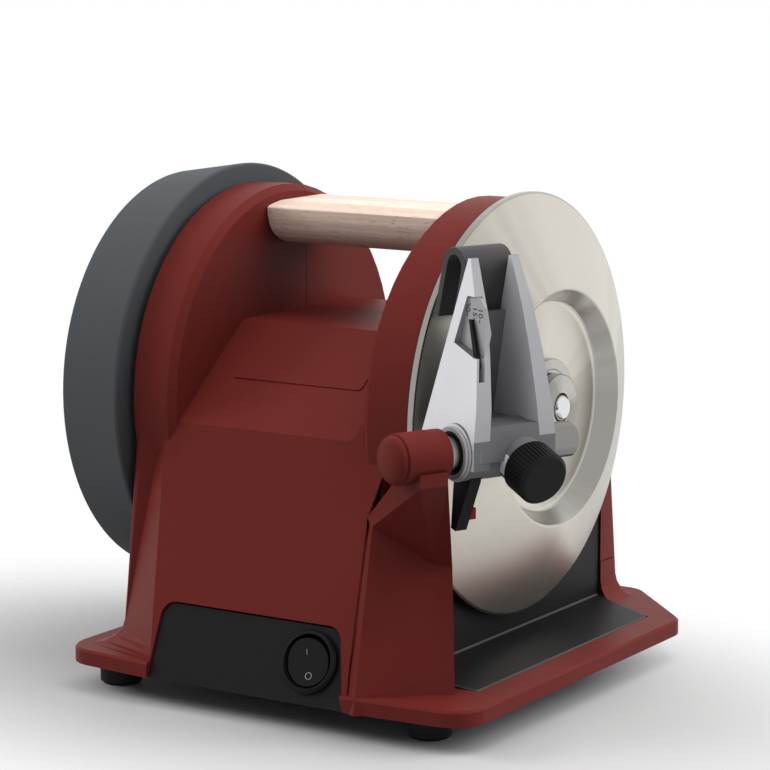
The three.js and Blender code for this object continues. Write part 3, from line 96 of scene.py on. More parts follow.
class Value:
    """A shader output that takes part in Python expressions."""

    def __init__(self, finish, socket):
        self.finish = finish
        self.socket = socket

    def math(self, operation, first, second=0.0):
        """Adds a math node, which takes values and numbers alike."""
        return self.finish.node(
            "ShaderNodeMath", {"operation": operation}, {0: first, 1: second}
        )

    def __add__(self, other):
        return self.math("ADD", self, other)

    __radd__ = __add__

    def __mul__(self, other):
        return self.math("MULTIPLY", self, other)

    __rmul__ = __mul__

    def __sub__(self, other):
        return self.math("SUBTRACT", self, other)

    def __rsub__(self, other):
        return self.math("SUBTRACT", other, self)

    def __pow__(self, other):
        return self.math("POWER", self, other)

    def sine(self):
        return self.math("SINE", self)

    def either(self, other):
        """The greater of two shares."""
        return self.math("MAXIMUM", self, other)

    def between(self, low, high):
        """0 below low, 1 above high and smooth between them."""
        return self.finish.node(
            "ShaderNodeMapRange",
            {"interpolation_type": "SMOOTHSTEP"},
            {"Value": self, "From Min": low, "From Max": high},
        )


class Nodes:
    """A node tree that is put together node by node."""

    def __init__(self, tree):
        self.tree = tree

    def fill(self, socket, value):
        """Links a value to a socket, or writes a number or colour into it."""
        if isinstance(value, Value):
            self.tree.links.new(value.socket, socket)
        elif socket.type == "RGBA":
            socket.default_value = (*value[:3], 1.0)
        else:
            socket.default_value = value

    def node(self, kind, settings=None, sockets=None, output=0):
        """Adds a node, with its settings first and then its sockets."""
        made = self.tree.nodes.new(kind)
        for name, value in (settings or {}).items():
            setattr(made, name, value)
        for name, value in (sockets or {}).items():
            self.fill(made.inputs[name], value)
        return Value(self, made.outputs[output])

    def vector(self, operation, first, second, output=0):
        """Adds a vector math node."""
        return self.node(
            "ShaderNodeVectorMath",
            {"operation": operation},
            {0: first, 1: second},
            output,
        )

    def blend(self, share, first, second):
        """Mixes two colours."""
        return self.node(
            "ShaderNodeMix",
            {"data_type": "RGBA"},
            {0: share, 6: first, 7: second},
            output=2,
        )


class Finish(Nodes):
    """A material that is put together node by node."""

    def __init__(self, name, **sockets):
        self.material = bpy.data.materials.new(name)
        self.material.use_nodes = True
        super().__init__(self.material.node_tree)
        self.shader = self.tree.nodes["Principled BSDF"]
        self.set(**sockets)

    def set(self, **sockets):
        """Sets or links the shader's sockets, named with _ for each space."""
        for name, value in sockets.items():
            socket = name.replace("_", " ").title().replace("Ior", "IOR")
            self.fill(self.shader.inputs[socket], value)

    def place(self):
        """The place on the piece, in its own space."""
        return self.node("ShaderNodeTexCoord", output="Object")

    def stretched(self, scale, rotation=(0, 0, 0)):
        """The place on the piece, turned and then scaled along each axis."""
        return self.node(
            "ShaderNodeMapping",
            None,
            {"Vector": self.place(), "Rotation": rotation, "Scale": scale},
        )

    def noise(self, scale, detail=2.0, vector=None, roughness=0.5):
        """Noise over the piece, with a scale in turns per metre."""
        return self.node(
            "ShaderNodeTexNoise",
            None,
            {
                "Vector": vector or self.place(),
                "Scale": scale,
                "Detail": detail,
                "Roughness": roughness,
            },
        )

    def line_noise(self, position, scale, detail=2.0):
        """Noise along a single measure, such as a distance."""
        return self.node(
            "ShaderNodeTexNoise",
            {"noise_dimensions": "1D"},
            {"W": position, "Scale": scale, "Detail": detail},
        )

    def bump(self, height, depth, strength=1.0):
        """Relief from a height, at a depth in metres."""
        return self.node(
            "ShaderNodeBump",
            None,
            {"Height": height, "Distance": depth, "Strength": strength},
        )

    def round_axis(self, point, axis):
        """Distance along an axis, and distance from it."""
        reach = self.vector("SUBTRACT", self.place(), tuple(point))
        along = self.vector("DOT_PRODUCT", reach, tuple(axis), "Value")
        squared = self.vector("DOT_PRODUCT", reach, reach, "Value")
        return along, (squared - along * along) ** 0.5

    def fans(self, point, axis):
        """Shares that rise and fall with the turn round an axis, which paint the light and dark
        fans of reflection that turned steel shows.
        """
        reach = self.vector("SUBTRACT", self.place(), tuple(point))
        up = Z_AXIS - axis * Z_AXIS.dot(axis)
        side = axis.cross(up)
        high = self.vector("DOT_PRODUCT", reach, tuple(up), "Value")
        wide = self.vector("DOT_PRODUCT", reach, tuple(side), "Value")
        turn = high.math("ARCTAN2", high, wide)
        broad = (turn * 2 + 0.6).sine() * 0.5 + 0.5
        fine = self.line_noise(turn, 3.0, 2)
        return (broad * 0.75 + fine * 0.5).between(0.35, 0.9)


def tone(red, green, blue):
    """A screen colour, from 0 to 255, as the linear one that shaders use."""
    return tuple(((c / 255 + 0.055) / 1.055) ** 2.4 for c in (red, green, blue))


def shade(colour, share):
    """A colour made darker or lighter."""
    return tuple(channel * share for channel in colour)


# Colours that no setting holds
# Paler grey of the trim's rounded edges, a painted highlight
TRIM_EDGE_HIGHLIGHT_GREY = tone(66, 66, 65)
FOOT_BLACK = tone(24, 24, 25)
SWITCH_BLACK = tone(18, 18, 19)
SWITCH_MARK_GREY = tone(176, 178, 180)
BRIGHT_STEEL = tone(190, 188, 182)
SHAFT_STEEL = tone(226, 227, 228)
BAR_STEEL = tone(138, 137, 134)
GUIDE_BLACK = tone(24, 24, 24)
LINER_GREY = tone(62, 62, 63)
TIP_RED = tone(126, 24, 32)
# Darker grey of the guide's pocket, painted shade
POCKET_SHADE_GREY = tone(116, 116, 118)
# Lighter grey of the guide arms' front edges, a painted highlight
ARM_EDGE_HIGHLIGHT_GREY = tone(172, 172, 174)
BUSH_GREY = tone(170, 170, 172)
SCALE_BLACK = tone(38, 38, 40)
ZINC_GREY = tone(196, 198, 200)
COPPER = tone(198, 120, 72)
GEAR_GREY = tone(48, 48, 50)
# Grey of the floor round the object, partly floor colour and partly a painted pool of shadow
FLOOR_AND_SHADOW_GREY = tone(178, 178, 178)
FLOOR_AND_SHADOW_SPECK = tone(172, 172, 172)


def shell_plastic(colour):
    """Satin moulded plastic with a fine spark-eroded grain."""
    made = Finish("red_shell", specular_ior_level=0.07)
    cloud = made.noise(16, 3)
    grain = made.noise(2400, 3, roughness=0.6)
    handling = made.noise(70, 4)
    made.set(
        base_color=made.blend(cloud, shade(colour, 0.86), shade(colour, 1.08)),
        roughness=0.36 + grain * 0.08 + handling * 0.1,
        normal=made.bump(grain, 0.00005, 0.45),
    )
    return made.material


def dark_plastic(name, colour, roughness, specular=0.1, depth=0.00006):
    """Near-black moulded plastic."""
    made = Finish(name, specular_ior_level=specular)
    cloud = made.noise(30, 3)
    grain = made.noise(2200, 3, roughness=0.6)
    made.set(
        base_color=made.blend(cloud, shade(colour, 0.85), shade(colour, 1.2)),
        roughness=roughness + grain * 0.1 + cloud * 0.05,
        normal=made.bump(grain, depth, 0.5),
    )
    return made.material


def rubber(name, colour):
    """Matt rubber with faint bloom."""
    made = Finish(name, specular_ior_level=0.2)
    bloom = made.noise(90, 5)
    grain = made.noise(1500, 4)
    made.set(
        base_color=made.blend(bloom, colour, shade(colour, 1.5)),
        roughness=0.58 + bloom * 0.2,
        normal=made.bump(grain, 0.00008, 0.5),
    )
    return made.material


def turned_steel(name, colour, point, axis, roughness, depth, painted_fan_share=0.0):
    """Steel with fine lines cut round an axis and, where a share is given, soft dark fans of
    painted reflection mixed into its colour.
    """
    made = Finish(name, metallic=1.0)
    along, radius = made.round_axis(point, axis)
    reach = along + radius
    lines = made.line_noise(reach, 6500, 3)
    bands = made.line_noise(reach, 900, 2)
    smears = made.noise(40, 4)
    base = made.blend(lines * 0.6 + bands * 0.4, shade(colour, 0.9), shade(colour, 1.04))
    # Dark fans of painted reflection, fixed to the piece so that they turn with it
    if painted_fan_share:
        fans = made.fans(point, axis)
        base = made.blend(fans * painted_fan_share, base, shade(colour, 0.3))
    made.set(
        base_color=base,
        roughness=roughness + lines * 0.08 + smears * 0.05,
        normal=made.bump(lines + bands * 0.5, depth, 1.0),
    )
    return made.material


def cast_aluminium(name, colour, roughness, metallic):
    """Die-cast aluminium with a fine blasted skin."""
    made = Finish(name, metallic=metallic, specular_ior_level=0.3)
    skin = made.noise(3000, 4, roughness=0.65)
    flow = made.noise(55, 4)
    made.set(
        base_color=made.blend(flow * 0.7 + skin * 0.3, shade(colour, 0.84), shade(colour, 1.04)),
        roughness=roughness + skin * 0.12 + flow * 0.08,
        normal=made.bump(skin, 0.00007, 0.7),
    )
    return made.material


def plated_steel(name, colour):
    """Plain sheet or turned steel of the inner pieces."""
    made = Finish(name, metallic=1.0)
    spangle = made.noise(140, 3)
    scratches = made.noise(700, 3, made.stretched((1, 9, 9)))
    made.set(
        base_color=made.blend(spangle, shade(colour, 0.8), colour),
        roughness=0.3 + spangle * 0.14 + scratches * 0.08,
        normal=made.bump(scratches, 0.00003, 0.6),
    )
    return made.material


def copper_winding(colour):
    """Lacquered wire wound round the motor shaft."""
    made = Finish("copper_winding", metallic=0.9)
    along, radius = made.round_axis(AXLE, X_AXIS)
    wires = (radius * 9000).sine() * (along * 9000).sine()
    made.set(
        base_color=made.blend(wires * 0.5 + 0.5, shade(colour, 0.6), colour),
        roughness=0.35,
        normal=made.bump(wires, 0.0003),
    )
    return made.material


def honing_composite(colour):
    """Dense honing compound with a fine fleck and faint turning marks."""
    made = Finish("honing_composite", specular_ior_level=0.18)
    along, radius = made.round_axis(AXLE, X_AXIS)
    fleck = made.noise(1700, 5, roughness=0.7)
    dust = made.noise(24, 4)
    marks = made.line_noise(along + radius, 1500, 3)
    made.set(
        base_color=made.blend(
            fleck * 0.5 + dust * 0.3 + marks * 0.2, shade(colour, 0.72), shade(colour, 1.3)
        ),
        roughness=0.6 + fleck * 0.16,
        normal=made.bump(fleck + marks * 0.5, 0.00012, 0.6),
    )
    return made.material


def beech_wood(colour):
    """Planed beech: long soft grain, rings that show on the curve, and short dark flecks."""
    made = Finish("beech", specular_ior_level=0.1)
    sway = made.noise(1, 2, made.stretched((14, 40, 40)))
    rings = made.noise(1, 3, made.stretched((5, 150, 210), (0.04, 0.02, 0.05)))
    fibres = made.noise(1, 4, made.stretched((26, 1100, 1300)))
    flecks = made.noise(1, 2, made.stretched((240, 2600, 1500))).between(0.6, 0.7)
    figure = rings.between(0.34, 0.64) * 0.75 + sway * 0.25
    ring_colour = tuple(channel * share for channel, share in zip(colour, (0.8, 0.7, 0.62)))
    light = made.blend(figure, shade(colour, 1.06), ring_colour)
    grained = made.blend(fibres.between(0.36, 0.66) * 0.5, light, shade(colour, 0.66))
    made.set(
        base_color=made.blend(flecks * 0.65, grained, shade(colour, 0.4)),
        roughness=0.46 + fibres * 0.14,
        normal=made.bump(fibres * 0.5 - flecks, 0.00006, 0.5),
    )
    return made.material


def ink(name, colour):
    """Filled-in marks."""
    made = Finish(name, specular_ior_level=0.2)
    wear = made.noise(1200, 3)
    made.set(
        base_color=made.blend(wear * 0.4, colour, shade(colour, 0.8)),
        roughness=0.5 + wear * 0.1,
    )
    return made.material


# Modelling


def alone(piece):
    """Selects one piece and nothing else."""
    bpy.ops.object.select_all(action="DESELECT")
    piece.select_set(True)
    bpy.context.view_layer.objects.active = piece


def modified(piece, kind, **settings):
    """Adds a modifier and applies it."""
    alone(piece)
    modifier = piece.modifiers.new(kind.title(), kind)
    for name, value in settings.items():
        setattr(modifier, name, value)
    bpy.ops.object.modifier_apply(modifier=modifier.name)


def softened(piece, width, segments=2, angle=28):
    """Rounds the edges that turn by more than an angle."""
    modified(
        piece,
        "BEVEL",
        width=width,
        segments=segments,
        limit_method="ANGLE",
        angle_limit=math.radians(angle),
        use_clamp_overlap=True,
        miter_outer="MITER_ARC",
    )


def smoothed(piece, angle=32):
    """Shades a piece smooth, with its large faces kept flat."""
    alone(piece)
    bpy.ops.object.shade_smooth_by_angle(angle=math.radians(angle))
    modified(piece, "WEIGHTED_NORMAL", keep_sharp=True)


def faces_picked(piece, test):
    """Opens a piece for editing with the faces selected whose middle and normal pass a test."""
    alone(piece)
    bpy.ops.object.mode_set(mode="EDIT")
    bpy.ops.mesh.select_mode(type="FACE")
    bpy.ops.mesh.select_all(action="DESELECT")
    bpy.ops.object.mode_set(mode="OBJECT")
    for face in piece.data.polygons:
        face.select = test(face.center, face.normal)
    bpy.ops.object.mode_set(mode="EDIT")


def also_finished(piece, material, test):
    """Gives some faces of a piece a second material."""
    piece.data.materials.append(material)
    faces_picked(piece, test)
    piece.active_material_index = len(piece.data.materials) - 1
    bpy.ops.object.material_slot_assign()
    bpy.ops.object.mode_set(mode="OBJECT")


def merged_copy(node, name):
    """A copy of a CAD node with its corners joined and its flat faces whole."""
    piece = bpy.data.objects.new(name, frame["nodes"][node].data.copy())
    piece.data.name = name
    bpy.context.scene.collection.objects.link(piece)
    alone(piece)
    bpy.ops.object.mode_set(mode="EDIT")
    bpy.ops.mesh.select_all(action="SELECT")
    bpy.ops.mesh.remove_doubles(threshold=MERGE_DISTANCE)
    bpy.ops.mesh.dissolve_limited(angle_limit=math.radians(FLAT_ANGLE))
    bpy.ops.object.mode_set(mode="OBJECT")
    return piece


def finished(piece, body, material, slot, *nodes):
    """Gives a piece its material and its place in the assembly."""
    piece.data.materials.clear()
    piece.data.materials.append(material)
    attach(piece, body)
    if nodes:
        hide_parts(*nodes)
    return piece


def skinned(node, name, body, material, slot, width, segments=2, angle=28, smooth=32):
    """Copies a CAD node, rounds its edges, shades it smooth and finishes it."""
    piece = merged_copy(node, name)
    softened(piece, width, segments, angle)
    smoothed(piece, smooth)
    return finished(piece, body, material, slot, node)


def painted(material, *nodes):
    """Gives CAD nodes that stay a material."""
    for node in nodes:
        mesh = frame["nodes"][node].data
        mesh.materials.clear()
        mesh.materials.append(material)


def rounded_profile(corners, steps=5):
    """Replaces each corner that has a rounding, as a third number, by an arc of points."""
    points = []
    for i, (along, radius, *rounding) in enumerate(corners):
        here = Vector((along, radius))
        if not rounding:
            points.append(here)
            continue
        before = Vector(corners[i - 1][:2]) - here
        after = Vector(corners[(i + 1) % len(corners)][:2]) - here
        half = before.angle(after) / 2
        reach = rounding[0] / math.tan(half)
        start = here + before.normalized() * reach
        end = here + after.normalized() * reach
        centre = here + (before.normalized() + after.normalized()).normalized() * (
            rounding[0] / math.sin(half)
        )
        for step in range(steps + 1):
            share = step / steps
            spoke = (start - centre).slerp(end - centre, share)
            points.append(centre + spoke.normalized() * rounding[0])
    return points


def cut_away(piece, place, outward):
    """Cuts a closed piece along a plane and takes off the outward side."""
    alone(piece)
    bpy.ops.object.mode_set(mode="EDIT")
    bpy.ops.mesh.select_all(action="SELECT")
    bpy.ops.mesh.bisect(plane_co=place, plane_no=outward, use_fill=True, clear_outer=True)
    bpy.ops.object.mode_set(mode="OBJECT")


def turned(name, profile, point, axis, steps=WHEEL_STEPS):
    """Spins a profile of places along and from an axis, in millimetres, into a closed piece."""
    side = axis.orthogonal().normalized()
    places = [point + (axis * along + side * radius) * MM for along, radius in profile]
    bpy.ops.object.select_all(action="DESELECT")
    bpy.ops.mesh.primitive_plane_add(size=MM)
    piece = bpy.context.object
    piece.name = piece.data.name = name
    bpy.ops.object.mode_set(mode="EDIT")
    bpy.ops.mesh.select_mode(type="VERT")
    bpy.ops.mesh.select_all(action="SELECT")
    bpy.ops.mesh.merge(type="CENTER")
    bpy.ops.transform.translate(value=places[0])
    for before, after in zip(places, places[1:]):
        bpy.ops.mesh.extrude_region_move(TRANSFORM_OT_translate={"value": after - before})
    bpy.ops.mesh.select_all(action="SELECT")
    bpy.ops.mesh.spin(steps=steps, angle=2 * math.pi, center=point, axis=axis)
    bpy.ops.mesh.select_all(action="SELECT")
    bpy.ops.mesh.remove_doubles(threshold=AXIS_MERGE_DISTANCE)
    bpy.ops.mesh.normals_make_consistent(inside=False)
    bpy.ops.object.mode_set(mode="OBJECT")
    return piece


def closed(profile):
    """A profile that comes back to its first point."""
    return [*profile, profile[0]]


def guide_place(out, along, height):
    """A place on the knife guide, in millimetres out from the bar, along it and above it."""
    return BAR_POINT + (BAR_OUT * out + BAR_ALONG * along + Z_AXIS * height) * MM


def surface_below(piece, place, outward):
    """Where a line that runs into a piece first meets it."""
    clear_of_piece = 40 * MM
    start = place + outward * clear_of_piece
    met, where, normal, _ = piece.ray_cast(start, -outward)
    if not met:
        raise RuntimeError(f"nothing of {piece.name} lies under the mark")
    return where, normal


def written(name, text, size, centre, reading, upward, thickness, weight=0.0):
    """Raised lettering, centred on a place, along a reading direction."""
    bpy.ops.object.select_all(action="DESELECT")
    bpy.ops.object.text_add()
    piece = bpy.context.object
    piece.name = name
    piece.data.body = text
    piece.data.size = size
    piece.data.align_x = "CENTER"
    piece.data.align_y = "CENTER"
    piece.data.extrude = thickness / 2
    piece.data.offset = weight
    piece.data.resolution_u = 6
    bpy.ops.object.convert(target="MESH")
    piece = bpy.context.object
    piece.data.name = name
    reading = reading.normalized()
    upward = (upward - reading * upward.dot(reading)).normalized()
    outward = reading.cross(upward)
    turn = Matrix((reading, upward, outward)).transposed().to_4x4()
    piece.data.transform(Matrix.Translation(centre) @ turn)
    return piece


# Sizes and colours


def colour_setting(name, description, default):
    """A colour, kept as the linear one that shaders use."""
    return bpy.props.FloatVectorProperty(
        name=name, description=description, subtype="COLOR", default=default, min=0, max=1
    )


def length_setting(name, description, default, least=0.1):
    """A length, given in millimetres and kept in metres."""
    return bpy.props.FloatProperty(
        name=name, description=description, default=default * MM, min=least * MM, unit="LENGTH"
    )


def angle_setting(name, description, default):
    """An angle, given in degrees and kept in radians."""
    return bpy.props.FloatProperty(
        name=name, description=description, default=math.radians(default), subtype="ANGLE"
    )


class ShellSettings(bpy.types.PropertyGroup):
    colour: colour_setting("Shell colour", "Colour of the moulded housing", tone(97, 36, 32))
    edge: length_setting("Edge rounding", "Rounding of the housing's edges", 0.5)
    trim: colour_setting(
        "Trim colour", "Colour of the panel, tray and base plate", tone(24, 24, 25)
    )


class WheelSettings(bpy.types.PropertyGroup):
    steel: colour_setting("Steel colour", "Colour of the ground steel", tone(218, 213, 202))
    composite: colour_setting("Honing compound", "Colour of the honing wheel", tone(68, 71, 73))
    edge: length_setting("Edge rounding", "Rounding of the honing wheel's edges", 1.0)


class GuideSettings(bpy.types.PropertyGroup):
    aluminium: colour_setting("Aluminium colour", "Colour of the cast guide", tone(232, 232, 237))
    edge: length_setting("Edge rounding", "Rounding of the casting's edges", 0.4)
    figure: length_setting(
        "Figure height", "Height of the figures on the angle scale", 2.5, least=0.5
    )


class HandleSettings(bpy.types.PropertyGroup):
    wood: colour_setting("Wood colour", "Colour of the beech grip", tone(226, 208, 196))
    edge: length_setting("Edge rounding", "Rounding of the grip's long edges", 2.4)


class StageSettings(bpy.types.PropertyGroup):
    azimuth: angle_setting("Camera azimuth", "Turn of the camera to the right of the front", 32.53)
    elevation: angle_setting("Camera elevation", "Height of the camera above the horizon", 9.47)
    lens: bpy.props.FloatProperty(
        name="Lens",
        description="Focal length in millimetres",
        default=136.37,
        min=20,
    )
    ambient: bpy.props.FloatProperty(
        name="Ambient light",
        description="Brightness of the surround for the light that it casts",
        default=0.34,
        min=0,
    )


SETTINGS = {
    "sharpener_shell": ShellSettings,
    "sharpener_wheels": WheelSettings,
    "sharpener_guide": GuideSettings,
    "sharpener_handle": HandleSettings,
    "sharpener_stage": StageSettings,
}


class SHARPENER_OT_housing(bpy.types.Operator):
    """Finish the moulded housing halves and the plug of the bar"""

    bl_idname = "sharpener.housing"
    bl_label = "Housing"

    def execute(self, context):
        settings = context.scene.sharpener_shell
        material = shell_plastic(tuple(settings.colour))
        for node in ("front_shell", "rear_shell"):
            skinned(node, node + "_skin", "base", material, "red_shell", settings.edge, smooth=20)
        plug = turned("bar_plug_cap", self.plug(), BAR_POINT, BAR_ALONG, SMALL_STEPS)
        smoothed(plug, 40)
        finished(plug, "base", material, "red_shell", "bar_plug")
        return {"FINISHED"}

    def plug(self):
        """The plug's dome, collar and stem: along the bar, from it, and rounding."""
        front, dome_height, dome_radius = -67.2, 4.2, 8.1
        dome = [
            (front - dome_height * math.cos(turn) ** 0.7, dome_radius * math.sin(turn))
            for turn in (step * math.pi / 24 for step in range(12))
        ]
        stem = (
            (front, 8), (front, 8.64, 0.4), (-62.4, 8.64), (-62.4, 5.7), (-59.2, 5.7), (-59.2, 0),
        )
        return dome + rounded_profile(stem)


class SHARPENER_OT_trim(bpy.types.Operator):
    """Finish the dark panel, tray, base plate, feet and cable gland"""

    bl_idname = "sharpener.trim"
    bl_label = "Trim and feet"

    def execute(self, context):
        settings = context.scene.sharpener_shell
        plastic = dark_plastic("trim_plastic", tuple(settings.trim), roughness=0.36)
        # The rounded edges of the panel's front and the tray's top get a paler grey, a painted
        # highlight
        edge = dark_plastic("trim_edge_highlight", TRIM_EDGE_HIGHLIGHT_GREY, roughness=0.4)
        for node, width, highlight_side in (
            ("switch_panel", 0.6, FRONT_OUT),
            ("side_tray", 0.6, Z_AXIS),
            ("base_plate", 0.4, None),
        ):
            piece = skinned(
                node, node + "_skin", "base", plastic, "dark_plastic", width * MM, segments=3
            )
            if highlight_side is not None:
                also_finished(piece, edge, self.bevel_of(highlight_side))
        foot_rubber = rubber("foot_rubber", FOOT_BLACK)
        for node in (
            "foot_front_left",
            "foot_front_right",
            "foot_rear_left",
            "foot_rear_right",
            "cable_gland",
        ):
            skinned(
                node, node + "_skin", "base", foot_rubber, "black_rubber", 0.4 * MM, smooth=40
            )
        return {"FINISHED"}

    def bevel_of(self, highlight_side):
        """A test for the rounded edges of the side that faces a direction, which get a paler grey
        as a painted highlight.
        """
        return lambda centre, normal: 0.2 < normal.dot(highlight_side) < 0.98


class SHARPENER_OT_switch(bpy.types.Operator):
    """Model the ring of the round rocker switch, and finish its button and marks"""

    bl_idname = "sharpener.switch"
    bl_label = "Switch"

    def execute(self, context):
        gloss = dark_plastic(
            "switch_plastic", SWITCH_BLACK, roughness=0.22, specular=0.12, depth=0.00001
        )
        profile = closed(rounded_profile(self.ring()))
        ring = turned("rocker_ring", profile, ROCKER_PIVOT, FRONT_OUT, SMALL_STEPS)
        smoothed(ring, 40)
        finished(ring, "base", gloss, "gloss_black", "rocker_bezel")
        button = skinned(
            "rocker_button", "rocker_button_cap", "rocker", gloss, "gloss_black", 0.5 * MM,
            segments=3, smooth=35,
        )
        self.marks(button)
        return {"FINISHED"}

    def ring(self):
        """Corners of the ring: out of the front face, from its middle, and rounding."""
        return (
            (0.3, 9.6),
            (0.3, 10.9, 0.25),
            (1.2, 10.9, 0.8),
            (2.6, 10, 1.2),
            (2.6, 9.4, 0.4),
            (1.2, 8.8, 0.4),
            (-7.3, 8.8),
            (-7.3, 0),
            (-11, 0),
            (-11, 9.6, 0.4),
        )

    def marks(self, button):
        """The marks of on and off, which lean with the button and lie on its surface."""
        lean = Matrix.Rotation(math.radians(13), 3, FRONT_OUT)
        thickness, thinning = 0.36 * MM, -0.1 * MM
        white = ink("switch_marks", SWITCH_MARK_GREY)
        for name, text, rise, size in (
            ("on_mark", "I", 3.1, 3.1),
            ("off_mark", "O", -5.0, 3.7),
        ):
            place = ROCKER_PIVOT + lean @ FRONT_UP * rise * MM
            where, normal = surface_below(button, place, FRONT_OUT)
            upward = normal.cross(X_AXIS)
            mark = written(
                name, text, size * MM, where, lean @ X_AXIS, upward, thickness, thinning
            )
            finished(mark, "rocker", white, "gloss_black")


class SHARPENER_OT_handle(bpy.types.Operator):
    """Finish the wooden grip"""

    bl_idname = "sharpener.handle"
    bl_label = "Handle"

    def execute(self, context):
        settings = context.scene.sharpener_handle
        wood = beech_wood(tuple(settings.wood))
        skinned(
            "handle", "grip", "base", wood, "beech", settings.edge, segments=5, angle=25, smooth=40
        )
        return {"FINISHED"}


class SHARPENER_OT_wheels(bpy.types.Operator):
    """Model the grinding wheel, its hub, the shaft and the honing wheel"""

    bl_idname = "sharpener.wheels"
    bl_label = "Wheels"

    def execute(self, context):
        settings = context.scene.sharpener_wheels
        # Both steels get dark fans of painted reflection in their colour, the polished one the
        # stronger
        steel = turned_steel(
            "ground_steel", tuple(settings.steel), AXLE, X_AXIS,
            roughness=0.3, depth=0.00001, painted_fan_share=0.45,
        )
        bright = turned_steel(
            "bright_steel", BRIGHT_STEEL, AXLE, X_AXIS,
            roughness=0.16, depth=0.000004, painted_fan_share=0.55,
        )
        wheel = self.piece(
            "grinding_disc", self.grinding_wheel(), steel, "ground_steel", "grinding_wheel"
        )
        also_finished(wheel, bright, self.bright_ring)
        self.piece("hub_disc", self.hub_disc(), bright, "ground_steel", "clamp_disc")
        self.piece("hub_nut", self.hub_nut(), bright, "ground_steel", "clamp_nut")
        polished = turned_steel(
            "polished_shaft", SHAFT_STEEL, AXLE, X_AXIS, roughness=0.12, depth=0.00001
        )
        shaft = merged_copy("drive_shaft", "drive_shaft_skin")
        smoothed(shaft)
        finished(shaft, "wheel_set", polished, "polished_steel", "drive_shaft")
        compound = honing_composite(tuple(settings.composite))
        self.piece(
            "honing_disc", self.honing_wheel(settings.edge / MM), compound,
            "honing_composite", "honing_wheel",
        )
        return {"FINISHED"}

    def piece(self, name, corners, material, slot, node):
        """Turns a piece round the axle and finishes it."""
        made = turned(name, closed(rounded_profile(corners)), AXLE, X_AXIS)
        smoothed(made, 30)
        return finished(made, "wheel_set", material, slot, node)

    def bright_ring(self, centre, normal):
        """The rim and the wall of the recess, which are polished."""
        reach = centre - AXLE
        radius = (reach - X_AXIS * reach.dot(X_AXIS)).length / MM
        on_rim = radius > WHEEL_RADIUS - 1
        on_wall = RECESS_RADIUS - 4.5 < radius < RECESS_RADIUS + 0.5
        return on_rim or on_wall

    def grinding_wheel(self):
        """Corners of the dished steel wheel: along the axle, from it, and rounding."""
        return (
            (51.5, 6.3),
            (51.5, 13, 0.4),
            (61.2, 13),
            (61.2, 33.8, 2),
            (67.84, 44.6, 0.5),
            (54.4, WHEEL_RADIUS, 0.3),
            (56.7, WHEEL_RADIUS, 0.25),
            (RIM_PLACE + 0.05, WHEEL_RADIUS - 0.8, 0.2),
            (RECESS_PLACE - 0.3, RECESS_RADIUS + 0.7, 0.5),
            (RECESS_PLACE - 0.4, RECESS_RADIUS, 0.3),
            (64.4, 37, 2.4),
            (64.4, 6.3, 0.4),
        )

    def hub_disc(self):
        """Corners of the disc that clamps the steel wheel."""
        return (
            (64.7, 5.3),
            (64.7, 17, 0.2),
            (67.3, 17, 0.7),
            (67.3, 13.4, 0.4),
            (66.9, 13, 0.2),
            (66.9, 5.3),
        )

    def hub_nut(self):
        """Corners of the round nut."""
        return (
            (67.6, 5.3),
            (67.6, 12, 0.3),
            (72.2, 12, 2.2),
            (72.2, 6.6, 0.4),
            (71.6, 5.3),
        )

    def honing_wheel(self, edge):
        """Corners of the honing wheel, with its cone and its dished outer face."""
        return (
            (-63.8, 6.3),
            (-63.8, 79.4, edge),
            (-91.3, 75.1, edge * 1.2),
            (-91.3, 50, 2),
            (-80.3, 39, 6),
            (-80.3, 6.3),
        )


